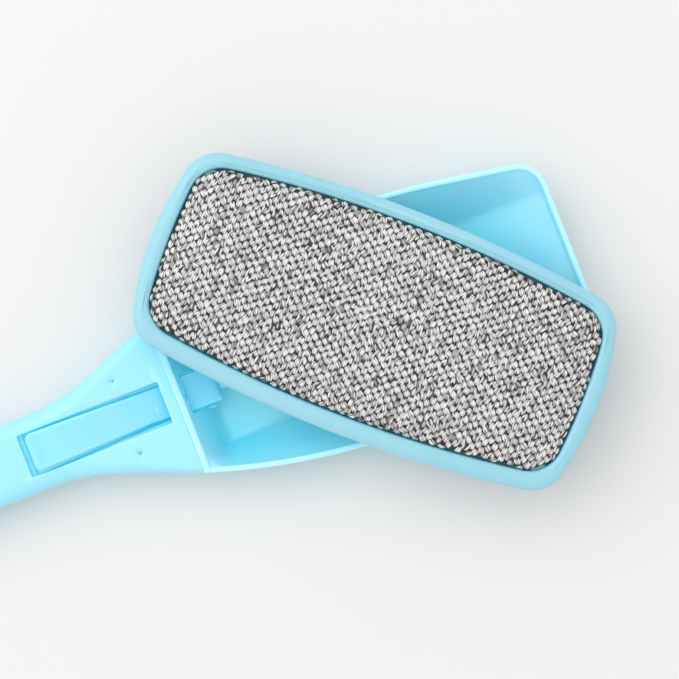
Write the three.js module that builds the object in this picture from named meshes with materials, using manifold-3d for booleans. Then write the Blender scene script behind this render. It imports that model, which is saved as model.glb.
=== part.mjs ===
// Rotary lint brush: a swivelling pad head over a tray shell, with a thumb lever in the handle.
// Millimetres, +Z up. The brush lies on its back: origin under the head pivot on the resting
// plane, +X towards the tip of the shell, -X towards the end of the handle.
import * as THREE from 'three';
import { mergeVertices } from 'three/addons/utils/BufferGeometryUtils.js';
import Module from 'manifold-3d';

const wasm = await Module();
wasm.setup();

// Shell outline, seen from above
const SHELL_HALF_WIDTH = 37.9;    // widest, at the pivot
const SHELL_SIDE_RADIUS = 215;    // both long sides are arcs up to SIDE_STRAIGHT_X, then straight
const SIDE_STRAIGHT_X = 36;
const TIP_X = 68.4;               // flat end of the tray
const TIP_CORNER = 10;
const RIDGE_X = -67.3;            // tray-side edge of the ridge between tray and neck
const NECK_END_X = -116;          // the neck has narrowed to the handle here
const NECK_SLOPE = 0.29;          // how fast the neck narrows at the ridge
const HANDLE_HALF_WIDTH = 12.6;
const HANDLE_END_X = -212;
const HANDLE_ROUND = 12.4;        // length of the rounded handle end

// Shell heights and walls
const RIM_Z = 18;
const WALL = 2;
const DECK_Z = 17.6;
const PARTING_Z = 11;             // back shell below, front cover above
const PARTING_GAP = 0.3;
const COVER_START_X = RIDGE_X - 2.4;
const FLOOR_CREASE = 20.5;        // half-width of the tray floor
const SHOULDER_FOOT_X = -60;
const RAMP_START_X = 29;          // from here the tray floor rises to the tip

// Head, in its own frame with its long axis along X
const REST_TURN = THREE.MathUtils.degToRad(-42.4);
const HEAD = { a: 76.9, b: 38.1, longR: 430, endR: 100, corner: 12, shift: -0.75 };
const WINDOW = { a: 71.2, b: 32.6, longR: 430, endR: 200, corner: 11, shift: 0 };
const HEAD_BOTTOM_Z = 19.5;
const HEAD_TOP_Z = 30;
const PAN_FLOOR = 2;
const SKIRT_WALL = 2;
const FLANGE_UNDER_Z = 27.2;
const PAD_EDGE_Z = 29.2;
const PAD_RISE = 4.2;
const SKIN = 0.9;

// Swivel
const SPINDLE_R = 5;
const RUNNING_GAP = 0.1;
const HUB_R = 9;
const DISC_R = 22;
const DISC_Z = [7.9, 9.9];
const FLANGE_R = 12;
const FLANGE_Z = [4.8, 6.3];
const BOSS_TOP_Z = 4.5;

// Lever
const AXLE = { x: -87, z: 9, r: 1.5 };
const SLOT = { x0: -122.7, x1: -73.6, half: 7.15 };
const PIN = { x: -59.7, z: 10, r: 1.3, half: 7.7 };
const SPRING = { x: -112, r: 3, wire: 0.4, z0: 2.4, z1: 14.5, turns: 6 };
const FORK_ROOF_Z = 12.4;         // the lever's tail closes over the arm from here up
const DIMPLE = { x: -87, y: 12.6 };
const GAP = 0.3;

// ---- materials ----
const plastic = (color, roughness = 0.3) => new THREE.MeshStandardMaterial({ color, roughness });
const metal = (color, roughness = 0.3) => new THREE.MeshStandardMaterial({ color, roughness, metalness: 1 });
const BLUE = 0x66cde6;
const PALE_BLUE = 0x8ce4f2;
const STEEL = 0xb9bcc0;

// ---- solids ----
function solid(geometry) {
  const g = geometry.clone();
  g.deleteAttribute('normal');
  g.deleteAttribute('uv');
  const merged = mergeVertices(g.index ? g.toNonIndexed() : g, 1e-4);
  const vertProperties = new Float32Array(merged.attributes.position.array);
  const triVerts = new Uint32Array(merged.index.array);
  const body = new wasm.Manifold(new wasm.Mesh({ numProp: 3, vertProperties, triVerts }));
  return body;
}

function geometryOf(body) {
  const mesh = body.getMesh();
  const g = new THREE.BufferGeometry();
  const points = new Float32Array(mesh.numVert * 3);
  for (let i = 0; i < mesh.numVert; i += 1) {
    for (let k = 0; k < 3; k += 1) points[i * 3 + k] = mesh.vertProperties[i * mesh.numProp + k];
  }
  g.setAttribute('position', new THREE.BufferAttribute(points, 3));
  g.setIndex(Array.from(mesh.triVerts));
  g.computeVertexNormals();
  return g;
}

// A closed solid through rings of equal point count; flat() gives a ring point's place in its plane.
function loft(rings, flat) {
  const n = rings[0].length;
  const points = rings.flat();
  const faces = [];
  for (let r = 0; r + 1 < rings.length; r += 1) {
    for (let i = 0; i < n; i += 1) {
      const j = (i + 1) % n;
      const [a, b, c, d] = [r * n + i, r * n + j, (r + 1) * n + j, (r + 1) * n + i];
      faces.push([a, b, c], [a, c, d]);
    }
  }
  for (const first of [0, (rings.length - 1) * n]) {
    const contour = points.slice(first, first + n).map(flat);
    const turnsLeft = !THREE.ShapeUtils.isClockWise(contour);
    for (const [a, b, c] of THREE.ShapeUtils.triangulateShape(contour, [])) {
      const left = !THREE.ShapeUtils.isClockWise([contour[a], contour[b], contour[c]]);
      const keep = (left === turnsLeft) === (first > 0);
      faces.push([first + a, first + (keep ? b : c), first + (keep ? c : b)]);
    }
  }
  const volume = faces.reduce((sum, [a, b, c]) => (
    sum + points[a].dot(new THREE.Vector3().crossVectors(points[b], points[c]))), 0);
  if (volume < 0) faces.forEach((face) => face.reverse());
  const g = new THREE.BufferGeometry();
  g.setAttribute('position', new THREE.Float32BufferAttribute(points.flatMap((p) => [p.x, p.y, p.z]), 3));
  g.setIndex(faces.flat());
  return g;
}

const seenFromTop = (p) => new THREE.Vector2(p.x, p.y);
const seenFromTip = (p) => new THREE.Vector2(p.y, p.z);

function box(x0, x1, y0, y1, z0, z1) {
  return solid(new THREE.BoxGeometry(x1 - x0, y1 - y0, z1 - z0)
    .translate((x0 + x1) / 2, (y0 + y1) / 2, (z0 + z1) / 2));
}

function post(r, z0, z1, x = 0, y = 0, segments = 20) {
  return solid(new THREE.CylinderGeometry(r, r, z1 - z0, segments)
    .rotateX(Math.PI / 2).translate(x, y, (z0 + z1) / 2));
}

// A round bar along Y
function bar(r, x, z, y0, y1, segments = 16) {
  return solid(new THREE.CylinderGeometry(r, r, y1 - y0, segments).translate(x, (y0 + y1) / 2, z));
}

function washer(rIn, rOut, z0, z1, segments = 28) {
  const profile = [[rIn, z0], [rOut, z0], [rOut, z1], [rIn, z1], [rIn, z0]];
  return new THREE.LatheGeometry(profile.map(([r, z]) => new THREE.Vector2(r, z)), segments)
    .rotateX(Math.PI / 2);
}

// An outline in XZ, pushed along Y from y0 to y1
function sideProfile(outline, y0, y1) {
  const shape = new THREE.Shape(outline.map(([x, z]) => new THREE.Vector2(x, z)));
  return solid(new THREE.ExtrudeGeometry(shape, { depth: y1 - y0, bevelEnabled: false })
    .rotateX(Math.PI / 2).translate(0, y1, 0));
}

// Pan-head screw standing on its tip; the head is at the top unless upsideDown
function screw(headR, headH, shankR, length, upsideDown) {
  const crossWidth = headR * 0.36;
  const head = solid(new THREE.LatheGeometry([
    [0, 0], [headR, 0], [headR, headH * 0.55], [headR * 0.75, headH], [0, headH],
  ].map(([r, z]) => new THREE.Vector2(r, z)), 14).rotateX(Math.PI / 2));
  const shank = post(shankR, -length, 0.2, 0, 0, 8);
  const tip = headR * 1.25;
  const crossDepth = headH * 0.5;
  const bars = [box(-tip / 2, tip / 2, -crossWidth / 2, crossWidth / 2, headH - crossDepth, headH + 1),
    box(-crossWidth / 2, crossWidth / 2, -tip / 2, tip / 2, headH - crossDepth, headH + 1)];
  let body = head.add(shank);
  for (const b of bars) body = body.subtract(b);
  const g = geometryOf(body);
  if (upsideDown) g.rotateX(Math.PI);
  return g;
}

// ---- shell sections ----
function halfWidth(x, inset = 0) {
  const sideR = SHELL_SIDE_RADIUS - inset;
  const sideY = SHELL_HALF_WIDTH - SHELL_SIDE_RADIUS;
  const lean = Math.asin(SIDE_STRAIGHT_X / SHELL_SIDE_RADIUS);
  const flatX = sideR * Math.sin(lean);
  const straight = (at) => sideY + sideR * Math.cos(lean) - Math.tan(lean) * (at - flatX);
  const cornerR = Math.max(TIP_CORNER - inset, 3);
  const cornerX = TIP_X - inset - cornerR;
  const cornerY = straight(cornerX) - cornerR / Math.cos(lean);
  if (x > cornerX + cornerR * Math.sin(lean)) {
    return cornerY + Math.sqrt(Math.max(cornerR ** 2 - (x - cornerX) ** 2, 0));
  }
  if (x > flatX) return straight(x);
  if (x >= RIDGE_X) return sideY + Math.sqrt(sideR ** 2 - x ** 2);
  const ridgeHalf = SHELL_HALF_WIDTH - SHELL_SIDE_RADIUS + Math.sqrt(SHELL_SIDE_RADIUS ** 2 - RIDGE_X ** 2);
  if (x > NECK_END_X) {
    const span = RIDGE_X - NECK_END_X;
    const t = (RIDGE_X - x) / span;
    const fall = ridgeHalf * (2 * t ** 3 - 3 * t ** 2 + 1) - NECK_SLOPE * span * (t ** 3 - 2 * t ** 2 + t);
    return fall + HANDLE_HALF_WIDTH * (3 * t ** 2 - 2 * t ** 3) - inset;
  }
  const roundStart = HANDLE_END_X + HANDLE_ROUND;
  const t = Math.min(Math.max((roundStart - x) / (HANDLE_ROUND + 0.4), 0), 1);
  return (HANDLE_HALF_WIDTH - inset) * (1 - t ** 2.6) ** (1 / 2.6);
}

// Side wall curve from the rim down to the crease, as [y, z] points
function wallCurve(rim, rimZ, crease, creaseZ, outBulge, downBulge, steps = 4) {
  const bend = new THREE.Vector2(crease + outBulge * (rim - crease), creaseZ + downBulge * (rimZ - creaseZ));
  const curve = new THREE.QuadraticBezierCurve(new THREE.Vector2(rim, rimZ), bend,
    new THREE.Vector2(crease, creaseZ));
  return curve.getPoints(steps).map((p) => [p.x, p.y]);
}

// Mirrors a half section and closes it across the top
function ring(x, half) {
  const left = half.map(([y, z]) => new THREE.Vector3(x, y, z));
  const right = half.map(([y, z]) => new THREE.Vector3(x, -y, z)).reverse();
  return [...left, ...right];
}

function stations(x0, x1, step) {
  const count = Math.max(Math.round((x1 - x0) / step), 1);
  return Array.from({ length: count + 1 }, (_, i) => x0 + (x1 - x0) * i / count);
}

const rampUp = (x, start, rise, power) => rise * Math.max((x - start) / (TIP_X - WALL - start), 0) ** power;

function outerBase(x) {
  const endT = Math.max((HANDLE_END_X + 12 - x) / 12, 0);
  return rampUp(x, RAMP_START_X + 3, 10.5, 2.4) + 5 * endT ** 2.2;
}

function outerRing(x) {
  const rim = halfWidth(x);
  const base = outerBase(x);
  const crease = Math.min(FLOOR_CREASE + WALL, rim * 0.98 - 4 * Math.min(rim / HANDLE_HALF_WIDTH, 1));
  return ring(x, [...wallCurve(rim, RIM_Z, crease, base + 0.7, 0.7, 0.33), [crease * 0.93, base]]);
}

function tipStations(x1) {
  return [x1 - 8, x1 - 5, x1 - 3, x1 - 1.5, x1 - 0.4, x1];
}

function trayHollow() {
  const xs = [RIDGE_X, -65.5, -63.8, -62.2, -61, -59.8, -58.4, -56.5,
    ...stations(-52, RAMP_START_X, 13.5), 36, 43, 50, ...tipStations(TIP_X - WALL)];
  const shoulder = (x) => (RIM_Z - WALL) * Math.max((SHOULDER_FOOT_X - x) / (SHOULDER_FOOT_X - RIDGE_X), 0);
  const rings = xs.map((x) => {
    const top = RIM_Z + 4;
    const foot = x > SHOULDER_FOOT_X && x < -56 ? 0.5 * ((-56 - x) / 4) ** 2 : 0;
    const floor = WALL + shoulder(x) + foot + rampUp(x, RAMP_START_X, 12.5, 2.2);
    const rim = halfWidth(x, WALL);
    const crease = Math.min(FLOOR_CREASE, rim - 3.5);
    const wall = wallCurve(rim, RIM_Z, crease, floor + Math.min(0.8, (RIM_Z - floor) * 0.3), 0.55, 0.4);
    return ring(x, [[rim, top], ...wall, [crease * 0.9, floor]]);
  });
  return solid(loft(rings, seenFromTip));
}

function neckChannel() {
  const xs = [HANDLE_END_X + 3, HANDLE_END_X + 5, -204, -199, ...stations(-190, NECK_END_X, 24.7),
    ...stations(-110, -72, 6.4)];
  const rings = xs.map((x) => {
    const rim = halfWidth(x, WALL);
    const crease = Math.min(FLOOR_CREASE, rim * 0.97 - 2.6 * Math.min(rim / 10, 1));
    const base = outerBase(x) + WALL;
    return ring(x, [[rim, RIM_Z + 2], ...wallCurve(rim - 0.6, RIM_Z, crease, base + 0.5, 0.7, 0.33),
      [crease * 0.9, base]]);
  });
  const underShoulder = sideProfile([[-73, WALL], [-62.8, WALL], [-68.9, 15.6], [-73, 15.6]], -15, 15);
  return solid(loft(rings, seenFromTip)).add(underShoulder);
}

const COVER_SCREWS = [[DIMPLE.x, DIMPLE.y], [DIMPLE.x, -DIMPLE.y], [-142, 0], [-192, 0]];
const BASE_SCREW_R = 9.2;
const INDEX_SCREW_R = 7.05;
const around = (count, r, start = 0) => Array.from({ length: count }, (_, i) => {
  const angle = start + i * 2 * Math.PI / count;
  return [r * Math.cos(angle), r * Math.sin(angle)];
});

function backShell() {
  const xs = [HANDLE_END_X, HANDLE_END_X + 0.8, HANDLE_END_X + 2, HANDLE_END_X + 4.5, -204, -199.6,
    ...stations(-190, NECK_END_X, 24.7), ...stations(-110, RIDGE_X, 7.2), ...stations(-58, 50, 12),
    ...tipStations(TIP_X)];
  let body = solid(loft(xs.map(outerRing), seenFromTip));
  body = body.subtract(box(HANDLE_END_X - 1, COVER_START_X + PARTING_GAP, -40, 40, PARTING_Z, RIM_Z + 1));
  body = body.subtract(trayHollow()).subtract(neckChannel());
  body = body.subtract(box(-72, -57, -6.9, 6.9, 7.4, 15.3));
  body = body.add(post(FLANGE_R, 1.5, BOSS_TOP_Z, 0, 0, 32));
  body = body.add(post(SPRING.r - SPRING.wire - 0.5, 1.5, 4.8, SPRING.x));
  for (const side of [-1, 1]) {
    const [y0, y1] = side < 0 ? [-9.7, -7.2] : [7.2, 9.7];
    body = body.add(box(AXLE.x - 3, AXLE.x + 3, y0, y1, 1.5, AXLE.z + 1.6));
    body = body.subtract(bar(AXLE.r + GAP, AXLE.x, AXLE.z, y0 - 0.5, y1 + 0.5));
    const notch = AXLE.r + GAP;
    body = body.subtract(box(AXLE.x - notch, AXLE.x + notch, y0 - 0.5, y1 + 0.5, AXLE.z, AXLE.z + 3));
  }
  for (const [x, y] of COVER_SCREWS) body = body.add(post(2.7, 1.2, PARTING_Z, x, y, 14));
  for (const [x, y] of COVER_SCREWS) {
    body = body.subtract(post(1.4, -1, RIM_Z, x, y, 14)).subtract(post(2.1, -1, 1.9, x, y, 14));
  }
  for (const [x, y] of around(3, BASE_SCREW_R, Math.PI / 2)) {
    body = body.subtract(post(1.25, 1, BOSS_TOP_Z + 1, x, y, 10));
  }
  return geometryOf(body);
}

function frontCover() {
  const half = (x, inset, top) => {
    const rim = halfWidth(x, inset);
    return [[rim - 0.75, PARTING_Z + PARTING_GAP], [rim - 0.1, 13.6], [rim, top - 2.4],
      [rim - 0.5, top - 1.1], [rim - 1.3, top - 0.35], [rim - 2.3, top]];
  };
  const xs = [HANDLE_END_X, HANDLE_END_X + 0.8, HANDLE_END_X + 2, HANDLE_END_X + 4.5, -204, -199.6,
    ...stations(-190, NECK_END_X, 24.7), ...stations(-110, COVER_START_X, 6.6)];
  const endDrop = (x) => 1.6 * Math.max((HANDLE_END_X + 10 - x) / 10, 0) ** 2;
  let body = solid(loft(xs.map((x) => ring(x, half(x, 0, DECK_Z - endDrop(x)))), seenFromTip));
  const inner = [HANDLE_END_X + 3, -204, -199, ...stations(-190, NECK_END_X, 24.7),
    ...stations(-110, COVER_START_X + 2, 7)];
  const innerRings = inner.map((x) => {
    const rim = halfWidth(x, WALL);
    return ring(x, [[rim, PARTING_Z - 1], [rim, 14.4], [rim - 1.6, DECK_Z - WALL]]);
  });
  body = body.subtract(solid(loft(innerRings, seenFromTip)));
  for (const [x, y] of COVER_SCREWS) {
    body = body.add(post(2.7, PARTING_Z + PARTING_GAP, DECK_Z - WALL + 0.4, x, y, 14));
    body = body.subtract(post(1.25, PARTING_Z - 1, 15.4, x, y, 10));
  }
  body = body.subtract(box(SLOT.x0, SLOT.x1, -SLOT.half, SLOT.half, PARTING_Z, DECK_Z + 2));
  for (const side of [-1, 1]) {
    body = body.subtract(post(1.6, DECK_Z - 0.35, DECK_Z + 1, DIMPLE.x, side * DIMPLE.y, 14));
    body = body.subtract(post(0.55, DECK_Z - 1.3, DECK_Z + 1, DIMPLE.x, side * DIMPLE.y, 10));
  }
  return geometryOf(body);
}

// ---- lever ----
function triggerLever() {
  const top = new THREE.SplineCurve([[-118.6, 20.3], [-110, 19.9], [-100, 18.8], [-90, 17.1], [-80, 15.2],
    [-74, 14.1], [-68, 13.5], [-60, 13.4], [-55.6, 13.3]].map(([x, z]) => new THREE.Vector2(x, z)));
  const outline = [...top.getPoints(22).map((p) => [p.x, p.y]), [-55.6, 7.7], [-76, 7.2], [-83, 6.4],
    [-87, 5.6], [-91, 6.4], [-94, 9], [-98, 13.4], [-106, 14.8], [-118, 15.6], [-120.2, 16.4],
    [-120.5, 18.2], [-120.1, 19.6]];
  const plan = [[-116, 6.75], [-74, 5.75], [-73.2, 6.3], [-55, 6.3], [-55, -6.3], [-73.2, -6.3], [-74, -5.75],
    [-116, -6.75], [-119, -6.5], [-120.6, -5.2], [-120.9, -3], [-120.9, 3], [-120.6, 5.2], [-119, 6.5]];
  const planShape = new THREE.Shape(plan.map(([x, y]) => new THREE.Vector2(x, y)));
  const planBody = solid(new THREE.ExtrudeGeometry(planShape, { depth: 30, bevelEnabled: false }));
  let body = sideProfile(outline, -8, 8).intersect(planBody);
  body = body.subtract(bar(AXLE.r + RUNNING_GAP, AXLE.x, AXLE.z, -9, 9));
  body = body.subtract(box(-63.6, -54, -2.9, 2.9, 0, FORK_ROOF_Z));
  body = body.subtract(bar(PIN.r + GAP, PIN.x, PIN.z, -9, 9));
  return geometryOf(body);
}

function pawlArm() {
  const outline = [[-62.3, 8.5], [-61.1, 7.7], [-58.3, 7.7], [-50, 10.2], [-18.8, 10.2], [-18.8, 11.6],
    [-21, 12.4], [-53.9, 12.6], [-55, 12.1], [-61.1, 12.1], [-62.3, 11.4]];
  return geometryOf(sideProfile(outline, -2.6, 2.6).subtract(bar(PIN.r + GAP, PIN.x, PIN.z, -4, 4)));
}

function coil({ x, r, wire, z0, z1, turns }) {
  const low = z0 + wire;
  const high = z1 - wire;
  class Helix extends THREE.Curve {
    getPoint(t, target = new THREE.Vector3()) {
      const angle = t * turns * 2 * Math.PI;
      return target.set(x + r * Math.cos(angle), r * Math.sin(angle), low + (high - low) * t);
    }
  }
  const section = new THREE.Shape(around(6, wire).map(([a, b]) => new THREE.Vector2(a, b)));
  const extrudePath = new Helix();
  return new THREE.ExtrudeGeometry(section, { extrudePath, steps: turns * 12, bevelEnabled: false });
}

// ---- head outline ----
// Four arcs with rounded corners; an inset keeps the arc centres and shortens every radius.
// The shift moves the whole outline along Y.
function barrel({ a, b, longR, endR, corner, shift }) {
  const longC = new THREE.Vector2(0, b - longR);
  const endC = new THREE.Vector2(a - endR, 0);
  const r1 = longR - corner;
  const r2 = endR - corner;
  const between = endC.clone().sub(longC);
  const d = between.length();
  const along = (r1 ** 2 - r2 ** 2 + d ** 2) / (2 * d);
  const off = Math.sqrt(r1 ** 2 - along ** 2);
  const u = between.divideScalar(d);
  const cornerC = new THREE.Vector2(longC.x + u.x * along + u.y * off, longC.y + u.y * along - u.x * off);
  const longEnd = cornerC.clone().sub(longC).angle();
  const endStart = cornerC.clone().sub(endC).angle();
  const outline = (inset, scale = 1) => {
    const arc = (c, r, from, to, steps) => Array.from({ length: steps }, (_, i) => {
      const angle = from + (to - from) * i / steps;
      return [(c.x + (r - inset) * Math.cos(angle)) * scale, (c.y + (r - inset) * Math.sin(angle)) * scale];
    });
    const quarter = [...arc(endC, endR, 0, endStart, 3), ...arc(cornerC, corner, endStart, longEnd, 5),
      ...arc(longC, longR, longEnd, Math.PI / 2, 4)];
    const topPoint = [0, (longC.y + longR - inset) * scale];
    const mirrored = quarter.slice(1).reverse().map(([x, y]) => [-x, y]);
    const upper = [...quarter, topPoint, ...mirrored, [-quarter[0][0], quarter[0][1]]];
    const lower = upper.slice(1, -1).reverse().map(([x, y]) => [x, -y]);
    return [...upper, ...lower].map(([x, y]) => [x, y + shift]);
  };
  return { outline, cornerC, shift };
}

const head = barrel(HEAD);
const windowEdge = barrel(WINDOW);

// levels: [inset, z] or [inset, z, scale]
function stack(edge, levels) {
  return solid(loft(levels.map(([inset, z, scale]) => edge.outline(inset, scale)
    .map(([x, y]) => new THREE.Vector3(x, y, z))), seenFromTop));
}

const cornerWays = [[1, 1], [-1, 1], [-1, -1], [1, -1]];
const SCREW_PAST_CORNER = 3.3;    // from the corner's centre, both ways
const headScrews = cornerWays.map(([sx, sy]) => [sx * (head.cornerC.x + SCREW_PAST_CORNER),
  sy * (head.cornerC.y + SCREW_PAST_CORNER) + head.shift]);

function headPan() {
  let body = stack(head, [[4, HEAD_BOTTOM_Z], [2.4, 19.9], [1.4, 20.7], [1, 21.6], [2.4, 21.6],
    [2.4, 25.8]]);
  body = body.subtract(stack(head, [[4.6, HEAD_BOTTOM_Z + PAN_FLOOR], [4.4, 27]]));
  for (const y of [-19, 19]) body = body.add(box(-54, 54, y - 0.9, y + 0.9, 21.3, 26.2));
  for (const x of [-40, 40]) body = body.add(box(x - 0.9, x + 0.9, -19, 19, 21.3, 26.2));
  body = body.add(post(HUB_R, DISC_Z[1] + GAP, HEAD_BOTTOM_Z + 0.5, 0, 0, 32));
  body = body.subtract(post(SPINDLE_R + RUNNING_GAP, 5, 24, 0, 0, 32));
  for (const [x, y] of headScrews) {
    body = body.subtract(post(1.4, 15, 24, x, y, 10)).subtract(post(2.4, 15, 20.9, x, y, 14));
  }
  for (const [x, y] of around(2, INDEX_SCREW_R)) body = body.subtract(post(1.1, 5, 16, x, y, 10));
  return geometryOf(body);
}

function headBezel() {
  let body = stack(head, [[0.7, 21.9], [0, 27.2], [0.2, 28.5], [0.8, 29.4], [1.7, 29.88], [2.8, HEAD_TOP_Z]]);
  body = body.subtract(stack(head, [[SKIRT_WALL, 20], [SKIRT_WALL, FLANGE_UNDER_Z]]));
  body = body.subtract(stack(windowEdge, [[0, 25], [0, 29.3], [-0.7, HEAD_TOP_Z], [-0.7, HEAD_TOP_Z + 1]]));
  for (const [x, y] of headScrews) {
    body = body.add(post(2.3, 22.2, FLANGE_UNDER_Z + 0.4, x, y, 14));
    body = body.subtract(post(1.2, 21, 27, x, y, 10));
  }
  return geometryOf(body);
}

function dome(inset, edgeZ, rise) {
  const scales = [1, 0.98, 0.94, 0.86, 0.7, 0.4];
  return scales.map((s) => [inset, edgeZ + rise * Math.sqrt(1 - s ** 4), s]);
}

function lintFabric() {
  const outer = stack(windowEdge, [[0.5, 28.4], ...dome(0.35, PAD_EDGE_Z, PAD_RISE)]);
  const inner = stack(windowEdge, [[0.35 + SKIN, 27], ...dome(0.35 + SKIN, PAD_EDGE_Z - SKIN, PAD_RISE)]);
  return geometryOf(outer.subtract(inner));
}

function foamPad() {
  const inset = 0.35 + SKIN + GAP;
  const levels = dome(inset, PAD_EDGE_Z - SKIN - 0.1, PAD_RISE - GAP);
  return geometryOf(stack(windowEdge, [[inset, 28.1], ...levels]));
}

function padBoard() {
  let body = stack(windowEdge, [[2.6, 26.5], [2.6, 27.8]]);
  for (const [x, y] of headScrews) body = body.subtract(post(3, 20, 30, x, y, 14));
  return geometryOf(body);
}

function indexDisc() {
  let body = post(DISC_R, DISC_Z[0], DISC_Z[1], 0, 0, 48);
  body = body.subtract(post(SPINDLE_R + RUNNING_GAP, 5, 12, 0, 0, 32));
  for (const [x, y] of around(4, 20)) body = body.subtract(box(x - 3, x + 3, y - 3, y + 3, 9, 12));
  for (const [x, y] of around(2, INDEX_SCREW_R)) {
    body = body.subtract(post(0.95, 5, 16, x, y, 10)).subtract(post(1.65, 5, 8.9, x, y, 10));
  }
  return geometryOf(body);
}

function spindle() {
  let body = post(FLANGE_R, ...FLANGE_Z, 0, 0, 32).add(post(SPINDLE_R, FLANGE_Z[1] - 0.5, 22, 0, 0, 32));
  body = body.subtract(post(1.8, 11.5, 23, 0, 0, 16));
  for (const [x, y] of around(3, BASE_SCREW_R, Math.PI / 2)) body = body.subtract(post(1.25, 3, 8, x, y, 10));
  return geometryOf(body);
}

// ---- assembly ----
const brush = new THREE.Group();
const headGroup = new THREE.Group();
headGroup.rotation.z = REST_TURN;
brush.add(headGroup);

function place(group, name, geometry, material, x = 0, y = 0, z = 0) {
  const mesh = new THREE.Mesh(geometry, material);
  mesh.name = name;
  mesh.position.set(x, y, z);
  group.add(mesh);
}

place(brush, 'back_shell', backShell(), plastic(BLUE));
place(brush, 'front_cover', frontCover(), plastic(PALE_BLUE));
COVER_SCREWS.forEach(([x, y], i) => {
  place(brush, `cover_screw_${i + 1}`, screw(1.8, 1.3, 0.95, 12.2, true), metal(STEEL), x, y, 1.6);
});
place(brush, 'trigger_lever', triggerLever(), plastic(PALE_BLUE));
place(brush, 'pawl_arm', pawlArm(), plastic(BLUE));
place(brush, 'pawl_pin', geometryOf(bar(PIN.r, PIN.x, PIN.z, -PIN.half, PIN.half)), plastic(PALE_BLUE));
place(brush, 'lever_axle', geometryOf(bar(AXLE.r, AXLE.x, AXLE.z, -9.6, 9.6)), metal(STEEL));
place(brush, 'lever_spring', coil(SPRING), metal(STEEL));
place(brush, 'swivel_spindle', spindle(), metal(STEEL));
around(3, BASE_SCREW_R, Math.PI / 2).forEach(([x, y], i) => {
  const seat = FLANGE_Z[1] + GAP;
  place(brush, `spindle_base_screw_${i + 1}`, screw(1.9, 1, 0.9, 5.2, false), metal(STEEL), x, y, seat);
});
place(brush, 'bearing_washer', washer(SPINDLE_R + GAP, 6.9, 6.6, 7.6), plastic(0xf2f2ee));
place(brush, 'retaining_washer', washer(2.2, 10, 22.3, 23.3), metal(STEEL));
place(brush, 'spindle_top_screw', screw(3.6, 2.2, 1.4, 11.2, false), metal(STEEL), 0, 0, 23.6);

place(headGroup, 'head_pan', headPan(), plastic(BLUE));
place(headGroup, 'head_bezel', headBezel(), plastic(BLUE));
headScrews.forEach(([x, y], i) => {
  place(headGroup, `head_screw_${i + 1}`, screw(2, 1, 0.85, 6, true), metal(STEEL), x, y, 20.6);
});
place(headGroup, 'index_disc', indexDisc(), plastic(0xf4f4f0));
around(2, INDEX_SCREW_R).forEach(([x, y], i) => {
  place(headGroup, `index_screw_${i + 1}`, screw(1.3, 0.7, 0.6, 6, true), metal(STEEL), x, y, 8.6);
});
place(headGroup, 'pad_board', padBoard(), plastic(0xdddddd, 0.6));
place(headGroup, 'foam_pad', foamPad(), plastic(0xe8e4da, 0.9));
place(headGroup, 'lint_fabric', lintFabric(), plastic(0xa9a5a4, 0.9));

export default brush;
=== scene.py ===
"""Rotary lint brush: a swivelling lint pad over a pale blue tray shell, with a thumb lever in the handle."""

import math

import bpy
import numpy as np
from mathutils import Matrix, Vector


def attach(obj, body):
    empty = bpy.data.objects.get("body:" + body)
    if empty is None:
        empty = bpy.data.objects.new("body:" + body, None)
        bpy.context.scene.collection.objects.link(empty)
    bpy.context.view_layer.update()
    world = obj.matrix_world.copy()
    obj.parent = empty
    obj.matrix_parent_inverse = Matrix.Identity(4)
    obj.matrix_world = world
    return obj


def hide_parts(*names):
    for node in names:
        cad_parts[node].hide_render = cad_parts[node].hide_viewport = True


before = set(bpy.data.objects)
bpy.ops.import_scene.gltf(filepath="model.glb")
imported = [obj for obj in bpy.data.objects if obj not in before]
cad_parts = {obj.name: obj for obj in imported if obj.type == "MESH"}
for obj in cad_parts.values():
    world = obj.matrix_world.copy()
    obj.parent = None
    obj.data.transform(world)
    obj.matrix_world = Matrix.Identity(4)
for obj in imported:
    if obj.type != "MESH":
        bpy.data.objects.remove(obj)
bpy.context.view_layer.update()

MM = 0.001

# ---------------------------------------------------------------- driving sizes, millimetres
SHELL_HALF_WIDTH, SHELL_SIDE_RADIUS, SIDE_STRAIGHT_X = 37.9, 215.0, 36.0
TIP_X, TIP_CORNER = 68.4, 10.0
RIDGE_X, NECK_END_X, NECK_SLOPE = -67.3, -116.0, 0.29
HANDLE_HALF_WIDTH, HANDLE_END_X, HANDLE_ROUND = 12.6, -212.0, 12.4
RIM_Z, DECK_Z, WALL = 18.0, 17.6, 2.0
PARTING_Z, PARTING_GAP = 11.0, 0.3
COVER_START_X = RIDGE_X - 2.4
FLOOR_CREASE, SHOULDER_FOOT_X, RAMP_START_X = 20.5, -60.0, 29.0
BOSS_TOP_Z, FLANGE_R = 4.5, 12.0

REST_TURN = math.radians(-42.4)
HEAD = dict(a=76.9, b=38.1, long_r=430.0, end_r=100.0, corner=12.0, shift=-0.75)
WINDOW = dict(a=71.2, b=32.6, long_r=430.0, end_r=200.0, corner=11.0, shift=0.0)
SCREW_PAST_CORNER, INDEX_SCREW_R, BASE_SCREW_R = 3.3, 7.05, 9.2
HEAD_BOTTOM_Z, HEAD_TOP_Z, FLANGE_UNDER_Z, SKIRT_WALL = 19.5, 30.0, 27.2, 2.0
PAD_EDGE_Z, PAD_RISE, PAD_INSET = 28.7, 4.2, 0.9

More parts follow.
